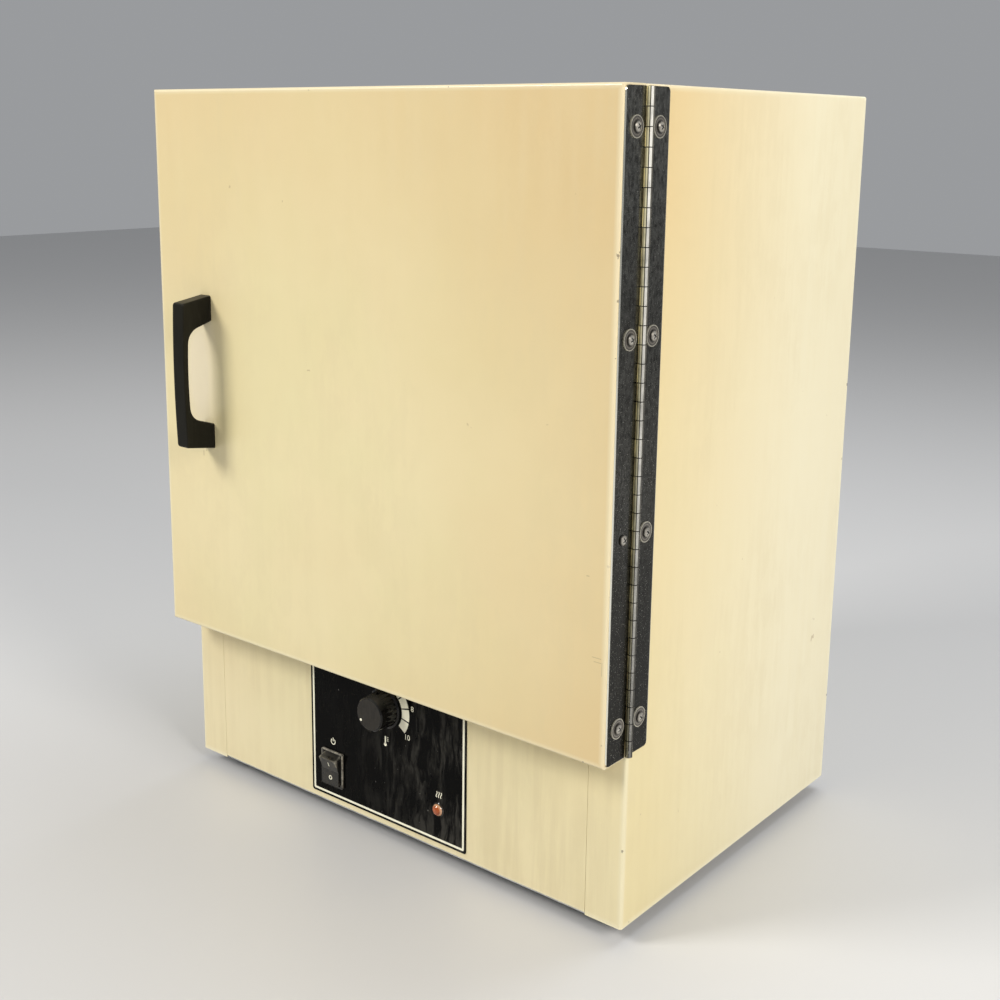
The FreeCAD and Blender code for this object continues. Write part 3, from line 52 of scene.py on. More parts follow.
# Node trees are written with this small helper: it adds nodes and joins them by socket name
class Tree:
    def __init__(self, tree):
        self.tree = tree
        self.column = 0

    def add(self, kind, values=(), settings=()):
        node = self.tree.nodes.new(kind)
        node.location = (self.column * 180 - 1400, -(self.column % 4) * 220)
        self.column += 1
        for name, value in dict(settings).items():
            setattr(node, name, value)
        for name, value in dict(values).items():
            self.put(value, node.inputs[name])
        return node

    def put(self, value, socket):
        # a colour comes as its three parts, and a vector of three equal parts may come as one number
        if isinstance(value, bpy.types.NodeSocket):
            self.tree.links.new(value, socket)
        elif socket.type == "VECTOR" and isinstance(value, (int, float)):
            socket.default_value = (value,) * 3
        else:
            socket.default_value = (*value, 1) if socket.type == "RGBA" else value

    def fill(self, shader, values):
        for name, value in values.items():
            self.put(value, shader.inputs[name])

    def mix(self, factor, first, second):
        node = self.add("ShaderNodeMix", settings={"data_type": "RGBA"})
        for socket, value in zip((0, 6, 7), (factor, first, second)):
            self.put(value, node.inputs[socket])
        return node.outputs[2]

    def tint(self, mask, colour, look, name):
        # the look's colour of that name laid over, by the mask times the share of that name
        return self.mix(self.times(mask, look[name + "Share"]), colour, look[name])

    def maths(self, operation, first, second=0.0, clamp=False):
        node = self.add("ShaderNodeMath", settings={"operation": operation, "use_clamp": clamp})
        self.put(first, node.inputs[0])
        self.put(second, node.inputs[1])
        return node.outputs[0]

    def plus(self, first, second, clamp=False):
        return self.maths("ADD", first, second, clamp)

    def minus(self, first, second, clamp=False):
        return self.maths("SUBTRACT", first, second, clamp)

    def times(self, first, *others):
        for other in others:
            first = self.maths("MULTIPLY", first, other)
        return first

    def squares(self, first, second):
        # each squared, then added
        return self.plus(self.times(first, first), self.times(second, second))

    def vector(self, operation, first, second=(0, 0, 0), output="Vector"):
        node = self.add("ShaderNodeVectorMath", settings={"operation": operation})
        self.put(first, node.inputs[0])
        self.put(second, node.inputs[1])
        return node.outputs[output]

    def spread(self, value, low, high, newLow=0.0, newHigh=1.0):
        return self.add("ShaderNodeMapRange", {"From Min": low, "From Max": high, "To Min": newLow,
                                               "To Max": newHigh, "Value": value}).outputs[0]

    def noise(self, vector, scale, detail=4.0, roughness=0.6, output="Fac"):
        return self.add("ShaderNodeTexNoise", {"Vector": vector, "Scale": scale, "Detail": detail,
                                               "Roughness": roughness}).outputs[output]

    def split(self, vector):
        return self.add("ShaderNodeSeparateXYZ", {"Vector": vector}).outputs

    def use(self, group, values):
        return self.add("ShaderNodeGroup", values, {"node_tree": group}).outputs


# Shared effects are node groups. Each gives masks and heights only, from 0 to 1
effectLook = {
    "middle": 0.5, "softDetail": 2.0, "cloudDetail": 6.0, "scratchPatches": (0.5, 0.62), "speckGain": 40.0,
    "dustFacing": (0.45, 0.95), "dustCloud": (0.35, 0.7)}


def startGroup(name, takes, gives=("Mask",)):
    group = bpy.data.node_groups.new(name, "ShaderNodeTree")
    for socketName, value in takes.items():
        kind = "NodeSocketVector" if isinstance(value, tuple) else "NodeSocketFloat"
        socket = group.interface.new_socket(name=socketName, in_out="INPUT", socket_type=kind)
        socket.default_value = value
    for socketName in gives:
        group.interface.new_socket(name=socketName, in_out="OUTPUT", socket_type="NodeSocketFloat")
    tree = Tree(group)
    return group, tree, tree.add("NodeGroupInput").outputs, tree.add("NodeGroupOutput").inputs


def makeGrain():
    # noise stretched by its own scale along each axis, its contrast raised about the middle
    group, tree, takes, gives = startGroup("stretchedGrain", {
        "Vector": (0, 0, 0), "Stretch": (100, 100, 100), "Contrast": 3.0}, ("Mask", "Height"))
    height = tree.noise(tree.vector("MULTIPLY", takes["Vector"], takes["Stretch"]), 1.0)
    raised = tree.times(tree.minus(height, effectLook["middle"]), takes["Contrast"])
    tree.put(tree.plus(raised, effectLook["middle"], True), gives["Mask"])
    tree.put(height, gives["Height"])
    return group


def makeScratches():
    # thin lines where a stretched noise crosses its middle value, kept only in some patches
    group, tree, takes, gives = startGroup("fineScratches", {
        "Vector": (0, 0, 0), "Stretch": (60, 60, 4), "Width": 0.012, "Patches": 9.0})
    stretched = tree.vector("MULTIPLY", takes["Vector"], takes["Stretch"])
    crossing = tree.minus(tree.noise(stretched, 1.0, effectLook["softDetail"]), effectLook["middle"])
    line = tree.minus(1.0, tree.maths("DIVIDE", tree.maths("ABSOLUTE", crossing), takes["Width"]), True)
    patch = tree.spread(tree.noise(takes["Vector"], takes["Patches"], effectLook["softDetail"]),
                        *effectLook["scratchPatches"])
    tree.put(tree.times(line, patch), gives["Mask"])
    return group


def makeSpecks():
    # small spots where a fine noise passes a threshold
    group, tree, takes, gives = startGroup("scatteredSpecks", {
        "Vector": (0, 0, 0), "Size": 160.0, "Threshold": 0.7})
    above = tree.minus(tree.noise(takes["Vector"], takes["Size"], effectLook["softDetail"]), takes["Threshold"])
    tree.put(tree.maths("MULTIPLY", above, effectLook["speckGain"], True), gives["Mask"])
    return group


def makeEdgeBand():
    # how near a point of a box's surface is to one of the box's edges: the two smallest of its three
    # distances to the box's faces, added, against the band's width
    group, tree, takes, gives = startGroup("boxEdgeBand", {
        "Vector": (0, 0, 0), "Centre": (0, 0, 0), "Half": (0.2, 0.2, 0.2), "Width": 0.004})
    away = tree.vector("ABSOLUTE", tree.vector("SUBTRACT", takes["Vector"], takes["Centre"]))
    gaps = tree.split(tree.vector("ABSOLUTE", tree.vector("SUBTRACT", takes["Half"], away)))
    sums = [tree.plus(gaps[a], gaps[b]) for a, b in ((0, 1), (1, 2), (0, 2))]
    nearest = tree.maths("MINIMUM", tree.maths("MINIMUM", sums[0], sums[1]), sums[2])
    tree.put(tree.minus(1.0, tree.maths("DIVIDE", nearest, takes["Width"]), True), gives["Mask"])
    return group


def makeDust():
    # dust that settles where a surface looks up, broken by a cloudy noise
    group, tree, takes, gives = startGroup("settledDust", {
        "Vector": (0, 0, 0), "Facing": (0, 0, 1), "Size": 14.0, "Amount": 0.3})
    upward = tree.spread(tree.split(takes["Facing"])["Z"], *effectLook["dustFacing"])
    cloud = tree.noise(takes["Vector"], takes["Size"], effectLook["cloudDetail"])
    tree.put(tree.times(upward, tree.spread(cloud, *effectLook["dustCloud"]), takes["Amount"]), gives["Mask"])
    return group


def makeCross():
    # two bars crossed at the origin of a flat place given by its two distances
    group, tree, takes, gives = startGroup("crossRecess", {
        "Across": 0.0, "Up": 0.0, "Reach": 0.0021, "Width": 0.0005})
    sizes = [tree.maths("ABSOLUTE", takes[name]) for name in ("Across", "Up")]
    bars = []
    for long, short in (sizes, sizes[::-1]):
        inside = tree.maths("LESS_THAN", long, takes["Reach"])
        bars.append(tree.times(inside, tree.maths("LESS_THAN", short, takes["Width"])))
    tree.put(tree.maths("MAXIMUM", *bars), gives["Mask"])
    return group


grainGroup, scratchGroup, speckGroup = makeGrain(), makeScratches(), makeSpecks()
edgeGroup, dustGroup, crossGroup = makeEdgeBand(), makeDust(), makeCross()
print("shared effects made")


def grainOf(tree, place, stretch, contrast):
    return tree.use(grainGroup, {"Vector": place, "Stretch": stretch, "Contrast": contrast})


def specksOf(tree, place, size, threshold):
    return tree.use(speckGroup, {"Vector": place, "Size": size, "Threshold": threshold})["Mask"]


def edgeOf(tree, place, low, high, width):
    return tree.use(edgeGroup, {"Vector": place, "Centre": (low + high) / 2, "Half": (high - low) / 2,
                                "Width": width})["Mask"]


def dustOf(tree, place, amount):
    facing = tree.add("ShaderNodeNewGeometry").outputs["Normal"]
    return tree.use(dustGroup, {"Vector": place, "Facing": facing, "Amount": amount})["Mask"]


def newMaterial(name):
    material = bpy.data.materials.new(name)
    material.use_nodes = True
    tree = Tree(material.node_tree)
    shader = material.node_tree.nodes["Principled BSDF"]
    return material, tree, shader, tree.add("ShaderNodeTexCoord").outputs["Object"]


def toneRamp(tree, value, stops):
    # tones at their places from 0 to 1, blended evenly between
    ramp = tree.add("ShaderNodeValToRGB", {"Fac": value})
    elements = ramp.color_ramp.elements
    for number, (position, tone) in enumerate(stops):
        stop = elements[number] if number < 2 else elements.new(position)
        stop.position, stop.color = position, (*tone, 1)
    return ramp.outputs["Color"]


def setBump(tree, shader, height, look):
    bump = tree.add("ShaderNodeBump", {"Height": height, "Strength": look["bump"], "Distance": look["depth"]})
    tree.put(bump.outputs["Normal"], shader.inputs["Normal"])


# What most finishes share: two tones of grain, a patchy tarnish, fine scratches, dust, roughness and bump
plainLook = {
    "light": (0.5, 0.5, 0.5), "dark": (0.4, 0.4, 0.4), "grain": 120, "contrast": 3.0,
    "tarnish": (0.2, 0.18, 0.15), "tarnishShare": 0.2, "patches": 14, "patchContrast": 4.0,
    "scratch": (0.7, 0.7, 0.7), "scratchShare": 0.2, "scratchStretch": (60, 60, 4), "dust": (0.45, 0.42, 0.36),
    "dustAmount": 0.2, "metallic": 0.0, "rough": (0.3, 0.45), "roughFull": 1.3, "coat": 0.0, "sheen": 0.5,
    "bump": 0.1, "depth": 0.0002}


def makeFinish(name, changes):
    look = {**plainLook, **changes}
    material, tree, shader, place = newMaterial(name)
    grain = grainOf(tree, place, look["grain"], look["contrast"])
    patch = grainOf(tree, place, look["patches"], look["patchContrast"])["Mask"]
    scratch = tree.use(scratchGroup, {"Vector": place, "Stretch": look["scratchStretch"]})["Mask"]
    dust = dustOf(tree, place, look["dustAmount"])
    colour = tree.mix(grain["Mask"], look["dark"], look["light"])
    colour = tree.tint(patch, colour, look, "tarnish")
    colour = tree.tint(scratch, colour, look, "scratch")
    colour = tree.mix(dust, colour, look["dust"])
    rough = tree.spread(tree.plus(patch, dust), 0.0, look["roughFull"], *look["rough"])
    tree.fill(shader, {"Base Color": colour, "Roughness": rough, "Metallic": look["metallic"],
                       "Coat Weight": look["coat"], "Specular IOR Level": look["sheen"]})
    setBump(tree, shader, grain["Height"], look)
    return material, tree, shader, place, colour


# Enamel: cream with greenish clouds, warmer away from a calm place and paler towards the rear, with faint
# runs, drips, a painted highlight along the edges, chips and an orange-peel skin
enamelLook = {
    "cream": (0.80, 0.70, 0.415), "green": (0.76, 0.685, 0.385), "greenShare": 0.6,
    "greenGrain": ((6, 6, 5), 6.0), "cloudGrain": (4, 2.5), "cloudShare": 0.3, "warm": (0.745, 0.575, 0.295),
    "calmPlace": (0, frontY, baseZ + 0.36), "warmReach": (0.10, 0.35), "warmShare": 0.85,
    "pale": (0.85, 0.785, 0.56), "paleReach": (frontY + 0.03, frontY + 0.24), "run": (0.66, 0.56, 0.33),
    "runShare": 0.08, "runGrain": ((120, 120, 7), 5.0), "patchGrain": ((9, 9, 5), 5.0), "dripShare": 0.12,
    "dripGrain": ((70, 70, 34), 9.0), "lowReach": (baseZ + 0.20, baseZ + 0.05), "lowShare": 0.0,
    "lowPale": 0.0, "skin": 0.003, "stain": (0.40, 0.29, 0.15), "stainShare": 0.55,
    "stainSpecks": (75.0, 0.775), "chip": (0.10, 0.075, 0.05), "chipSpecks": (130.0, 0.715),
    "chipReach": (0.35, 0.9), "edge": (0.88, 0.83, 0.62), "edgeShare": 0.6, "edgeWidth": 0.0045,
    "dust": (0.5, 0.45, 0.33), "dustAmount": 0.28, "rough": (0.30, 0.46), "roughFull": 1.2, "coat": 0.18,
    "coatRough": 0.22, "peel": (620.0, 2.0), "bump": 0.35, "depth": 0.00012}
doorLook = {
    "calmPlace": (-0.085, frontY, baseZ + 0.30), "warmReach": (0.15, 0.38), "warm": (0.715, 0.55, 0.285),
    "lightTone": (0.84, 0.76, 0.62), "lightTonePlace": (-0.186, baseZ + 0.365), "lightToneShare": 0.5,
    "lightToneReach": (0.026, 0.010), "lightToneFlat": 0.36, "mark": (0.42, 0.34, 0.19), "markShare": 0.6,
    "marks": ((0.2255, 0.2162, 0.0038, 0.0003), (0.2262, 0.2132, 0.0030, 0.0003),
        (0.2300, 0.2090, 0.0003, 0.0050), (-0.1837, 0.2950, 0.0006, 0.0022), (-0.1800, 0.2985, 0.0004, 0.0013),
        (0.2165, 0.2727, 0.0012, 0.0004))}
cabinetLook = {
    "calmPlace": (0.10, frontY + 0.1, baseZ), "warmReach": (0.25, 0.66), "runShare": 0.09, "lowShare": 0.35,
    "lowPale": 0.3}


def addDoorWear(tree, look, axes, colour):
    # a soft oval patch, then short bars: each is where both distances from its middle are small
    def offsets(x, z):
        return tree.minus(axes["X"], x), tree.minus(axes["Z"], z)

    # a paler oval patch behind the handle
    across, up = offsets(*look["lightTonePlace"])
    square = tree.squares(across, tree.times(up, look["lightToneFlat"]))
    patch = tree.spread(tree.maths("SQRT", square), *look["lightToneReach"])
    colour = tree.tint(patch, colour, look, "lightTone")
    for x, z, halfWidth, halfHeight in look["marks"]:
        across, up = (tree.maths("ABSOLUTE", value) for value in offsets(x, baseZ + z))
        inside = tree.times(tree.maths("LESS_THAN", across, halfWidth), tree.maths("LESS_THAN", up, halfHeight))
        colour = tree.tint(inside, colour, look, "mark")
    return colour


def makeEnamel(name, low, high, changes):
    look = {**enamelLook, **changes}
    material, tree, shader, place = newMaterial(name)
    axes = tree.split(place)
    green, cloud, runs, patch, drip = (grainOf(tree, place, *look[grain])["Mask"] for grain in (
        "greenGrain", "cloudGrain", "runGrain", "patchGrain", "dripGrain"))
    warmth = tree.spread(tree.vector("DISTANCE", place, look["calmPlace"], "Value"), *look["warmReach"])
    warmth = tree.plus(tree.times(warmth, look["warmShare"]), tree.times(cloud, look["cloudShare"]), True)
    colour = tree.tint(green, look["cream"], look, "green")
    colour = tree.mix(warmth, colour, look["warm"])
    colour = tree.mix(tree.spread(axes["Y"], *look["paleReach"]), colour, look["pale"])
    # the foot of the front: low down, and within the skin's depth of the front plane
    atFoot = tree.times(tree.spread(axes["Z"], *look["lowReach"]),
                        tree.maths("LESS_THAN", axes["Y"], frontY + look["skin"]))
    colour = tree.mix(tree.times(atFoot, look["lowPale"]), colour, look["pale"])
    share = tree.plus(tree.times(atFoot, look["lowShare"]), look["runShare"])
    colour = tree.mix(tree.times(runs, patch, share), colour, look["run"])
    colour = tree.mix(tree.times(drip, patch, look["dripShare"]), colour, look["run"])
    if "marks" in look:
        colour = addDoorWear(tree, look, axes, colour)
    colour = tree.tint(specksOf(tree, place, *look["stainSpecks"]), colour, look, "stain")
    edge = edgeOf(tree, place, low, high, look["edgeWidth"])
    # painted highlight: the edges of the box made paler, for the light on the rounded bends
    colour = tree.tint(edge, colour, look, "edge")
    chipped = tree.times(specksOf(tree, place, *look["chipSpecks"]), tree.spread(edge, *look["chipReach"]))
    colour = tree.mix(chipped, colour, look["chip"])
    dust = dustOf(tree, place, look["dustAmount"])
    tree.fill(shader, {"Base Color": tree.mix(dust, colour, look["dust"]), "Coat Weight": look["coat"],
                       "Coat Roughness": look["coatRough"],
                       "Roughness": tree.spread(tree.plus(runs, dust), 0.0, look["roughFull"], *look["rough"])})
    setBump(tree, shader, tree.noise(place, *look["peel"]), look)
    return material


# Panel face: gloss black with dry vertical smears, thickest on its right half
panelFaceLook = {
    "black": (0.002, 0.002, 0.002), "smear": (0.040, 0.038, 0.033), "sway": (22.0, 2.0, 0.5),
    "swayReach": 0.016, "smearGrain": ((190, 190, 26), 7.0), "patchGrain": ((45, 45, 22), 6.0),
    "thickening": (-0.035, 0.05, 0.06, 1.0), "rough": (0.10, 0.5), "speck": (0.30, 0.29, 0.27),
    "specks": (330.0, 0.74), "speckShare": 0.5, "sheen": 0.04, "bump": 0.08, "depth": 0.0001}


def makePanelFace():
    look = panelFaceLook
    material, tree, shader, place = newMaterial("glossBlackFace")
    sway = tree.vector("MULTIPLY", tree.noise(place, *look["sway"], "Color"), look["swayReach"])
    smear = grainOf(tree, tree.vector("ADD", place, sway), *look["smearGrain"])["Mask"]
    patch = grainOf(tree, place, *look["patchGrain"])["Mask"]
    # the smears thicken from the left to the right
    mask = tree.times(smear, patch, tree.spread(tree.split(place)["X"], *look["thickening"]))
    colour = tree.mix(mask, look["black"], look["smear"])
    colour = tree.tint(specksOf(tree, place, *look["specks"]), colour, look, "speck")
    tree.fill(shader, {"Base Color": colour, "Specular IOR Level": look["sheen"],
                       "Roughness": tree.spread(mask, 0.0, 1.0, *look["rough"])})
    setBump(tree, shader, smear, look)
    return material


# Pilot lens: amber with a paler rim round its dome and a dark line where it sits
lensLook = {
    "centre": (0.0583, baseZ + 0.0361), "dome": (0.52, 0.115, 0.010), "deep": (0.26, 0.04, 0.003),
    "cloudGrain": (260, 3.0), "rim": (0.62, 0.34, 0.19), "rimReach": (0.0036, 0.0042),
    "seat": (0.02, 0.015, 0.01), "seatReach": (0.0048, 0.0050), "rough": (0.08, 0.16), "coat": 0.6,
    "bump": 0.1, "depth": 0.0001}


def makeLens():
    look = lensLook
    material, tree, shader, place = newMaterial("amberLens")
    axes = tree.split(place)
    offsets = [tree.minus(axes[axis], middle) for axis, middle in zip("XZ", look["centre"])]
    away = tree.maths("SQRT", tree.squares(*offsets))
    cloud = grainOf(tree, place, *look["cloudGrain"])
    colour = tree.mix(cloud["Mask"], look["deep"], look["dome"])
    colour = tree.mix(tree.spread(away, *look["rimReach"]), colour, look["rim"])
    colour = tree.mix(tree.spread(away, *look["seatReach"]), colour, look["seat"])
    tree.fill(shader, {"Base Color": colour, "Coat Weight": look["coat"],
                       "Roughness": tree.spread(cloud["Mask"], 0.0, 1.0, *look["rough"])})
    setBump(tree, shader, cloud["Height"], look)
    return material


# Screws and washers: bright steel. On the hinge it carries painted highlights and reflections in rings round
# each screw, and both the hinge screws and the rear screws have a crossed recess painted dark as shade
screwLook = {
    "light": (0.62, 0.61, 0.57), "dark": (0.42, 0.41, 0.37), "grain": 700, "metallic": 0.6,
    "rough": (0.2, 0.42), "tarnish": (0.25, 0.20, 0.13), "tarnishShare": 0.35, "patches": 160,
    "recessShade": (0.02, 0.018, 0.015), "hingeSide": 0.22, "hingeRows": (-0.0155, 0.0115),
    "hingeTurns": (0.5, 1.0), "hingeFirst": 0.1628, "hingePitch": 0.13547, "rearFace": 0.32,
    "rearSide": 0.2265, "rearSideTurn": 0.3, "rearFirst": 0.028, "rearPitch": 0.27, "rearTop": 0.589,
    "rearTopPitch": 0.165, "rearTopTurn": 0.7, "rings": ((0.0, (0.70, 0.68, 0.62)), (0.40, (0.34, 0.32, 0.28)),
        (0.50, (0.012, 0.011, 0.008)), (0.62, (0.045, 0.038, 0.032)), (0.72, (0.24, 0.215, 0.18)),
        (0.80, (0.04, 0.035, 0.03)), (0.90, (0.085, 0.075, 0.065)), (0.96, (0.62, 0.59, 0.48))),
    "washer": 0.0073, "ringShare": 0.88}


def makeScrews():
    look = screwLook
    material, tree, shader, place, colour = makeFinish("brightScrew", look)
    x, y, z = tree.split(place)

    def repeated(value, first, pitch):
        # distance to the nearest of a row of places, one pitch apart
        return tree.minus(tree.maths("FLOORED_MODULO", tree.minus(value, first - pitch / 2), pitch), pitch / 2)

    def cross(across, up, turn, where):
        # the cross turned in its own plane
        c, s = math.cos(turn), math.sin(turn)
        turned = [tree.plus(tree.times(across, a), tree.times(up, b)) for a, b in ((c, s), (-s, c))]
        return tree.times(tree.use(crossGroup, {"Across": turned[0], "Up": turned[1]})["Mask"], where)

    onHinge = tree.maths("GREATER_THAN", x, look["hingeSide"])
    atRear = tree.maths("GREATER_THAN", y, frontY + look["rearFace"])
    hingeUp = repeated(z, baseZ + look["hingeFirst"], look["hingePitch"])
    rows = [tree.minus(y, frontY + row) for row in look["hingeRows"]]
    nearRow = tree.maths("MINIMUM", *(tree.maths("ABSOLUTE", row) for row in rows))
    away = tree.maths("SQRT", tree.squares(nearRow, hingeUp))
    # painted highlights and reflections round each hinge screw: a bright head, a dark ring round it, a dark
    # washer with bright rings and a bright outer edge
    rings = toneRamp(tree, tree.maths("DIVIDE", away, look["washer"]), look["rings"])
    colour = tree.mix(tree.times(onHinge, look["ringShare"]), colour, rings)
    sideways = tree.minus(tree.maths("ABSOLUTE", x), look["rearSide"])
    rearUp = repeated(z, baseZ + look["rearFirst"], look["rearPitch"])
    mask = cross(sideways, rearUp, look["rearSideTurn"], atRear)
    marks = [cross(row, hingeUp, turn, onHinge) for row, turn in zip(rows, look["hingeTurns"])]
    marks.append(cross(repeated(x, 0.0, look["rearTopPitch"]), tree.minus(z, baseZ + look["rearTop"]),
                       look["rearTopTurn"], atRear))
    for mark in marks:
        mask = tree.maths("MAXIMUM", mask, mark)
    # the crossed recesses painted dark as shade
    tree.put(tree.mix(mask, colour, look["recessShade"]), shader.inputs["Base Color"])
    return material


# Hinge: bright steel, darkened as a painted reflection of a dark room, with a fine grain. The barrel has
# painted highlights in two lines on each side, warm on the door's side and white on the cabinet's side, and the
# outer edge of each leaf has a painted highlight
hingeLook = {
    "light": (0.075, 0.073, 0.064), "dark": (0.018, 0.017, 0.014), "grain": (1400, 1400, 900), "contrast": 7.0,
    "metallic": 1.0, "rough": (0.14, 0.34), "tarnish": (0.12, 0.115, 0.10), "tarnishShare": 0.25,
    "patches": (40, 40, 16), "scratch": (0.62, 0.61, 0.56), "scratchShare": 0.8,
    "scratchStretch": (520, 520, 90), "axis": (0.23625, -0.002), "barrel": 0.0031,
    "turns": ((0.0, (0.03, 0.028, 0.02)), (0.130, (0.08, 0.07, 0.045)), (0.150, (0.98, 0.88, 0.50)),
        (0.215, (0.98, 0.90, 0.56)), (0.228, (0.16, 0.14, 0.07)), (0.241, (0.98, 0.90, 0.56)),
        (0.300, (0.98, 0.92, 0.62)), (0.318, (0.05, 0.045, 0.03)), (0.345, (0.05, 0.045, 0.03)),
        (0.362, (0.95, 0.94, 0.88)), (0.392, (0.95, 0.94, 0.88)), (0.403, (0.30, 0.29, 0.27)),
        (0.414, (0.95, 0.94, 0.88)), (0.440, (0.86, 0.85, 0.78)), (0.475, (0.10, 0.095, 0.08))),
    "knuckles": (0.1374, 0.0127, 0.0003), "seam": (0.015, 0.013, 0.01), "worn": (0.16, 0.52),
    "highlightShares": (0.3, 1.0), "highlightGrain": ((140, 140, 60), 2.0), "highlightPatches": (0.0, 0.6, 0.55, 1.0),
    "barrelMetallic": 0.05, "sheet": (0.24, 0.235, 0.21), "sheetGrain": ((420, 420, 230), 3.0),
    "sheetShares": (0.1, 0.9), "fleck": (0.55, 0.54, 0.48), "flecks": (1100.0, 0.665),
    "foot": (0.008, 0.0075, 0.006), "footShares": (0.8, 0.0), "edges": (-0.02685, 0.02285),
    "bare": (0.80, 0.79, 0.70), "rearShare": 0.5}


def makeHinge():
    look = hingeLook
    material, tree, shader, place, colour = makeFinish("hingeBright", look)
    axes = tree.split(place)
    across = tree.minus(axes["X"], look["axis"][0])
    along = tree.minus(axes["Y"], frontY + look["axis"][1])
    low, high = (baseZ + rise for rise in look["worn"])
    # the turn about the pin, from 0 to 1 over the whole circle, picks the painted highlight's tone on the
    # barrel
    turn = tree.spread(tree.maths("ARCTAN2", along, across), -math.pi, math.pi)
    # lighter clouds, more of them higher up, and a darker foot: painted reflection and painted shade, darker
    # towards the bottom
    cloud = grainOf(tree, place, *look["sheetGrain"])["Mask"]
    above = tree.spread(axes["Z"], low, high, *look["sheetShares"])
    colour = tree.mix(tree.times(cloud, above), colour, look["sheet"])
    colour = tree.mix(tree.spread(axes["Z"], low, high, *look["footShares"]), colour, look["foot"])
    colour = tree.mix(specksOf(tree, place, *look["flecks"]), colour, look["fleck"])
    # painted highlights on the barrel: weaker low down, broken in patches, and nearly without metal where they
    # lie
    onBarrel = tree.maths("LESS_THAN", tree.squares(across, along), look["barrel"] ** 2)
    worn = tree.spread(axes["Z"], low, high, *look["highlightShares"])
    patch = tree.spread(grainOf(tree, place, *look["highlightGrain"])["Mask"], *look["highlightPatches"])
    share = tree.times(onBarrel, worn, patch)
    colour = tree.mix(share, colour, toneRamp(tree, turn, look["turns"]))
    first, pitch, gap = look["knuckles"]
    rise = tree.maths("FLOORED_MODULO", tree.minus(axes["Z"], baseZ + first - gap), pitch)
    colour = tree.mix(tree.times(tree.maths("LESS_THAN", rise, gap * 2), onBarrel), colour, look["seam"])
    # painted highlight: the outer edges of the leaves made pale, the front edge fully and the rear edge by half
    front = tree.maths("LESS_THAN", axes["Y"], frontY + look["edges"][0])
    rear = tree.maths("GREATER_THAN", axes["Y"], frontY + look["edges"][1])
    edge = tree.plus(front, tree.times(rear, look["rearShare"]), True)
    tree.fill(shader, {"Base Color": tree.mix(edge, colour, look["bare"]),
                       "Metallic": tree.spread(share, 0.0, 1.0, 1.0, look["barrelMetallic"])})
    return material


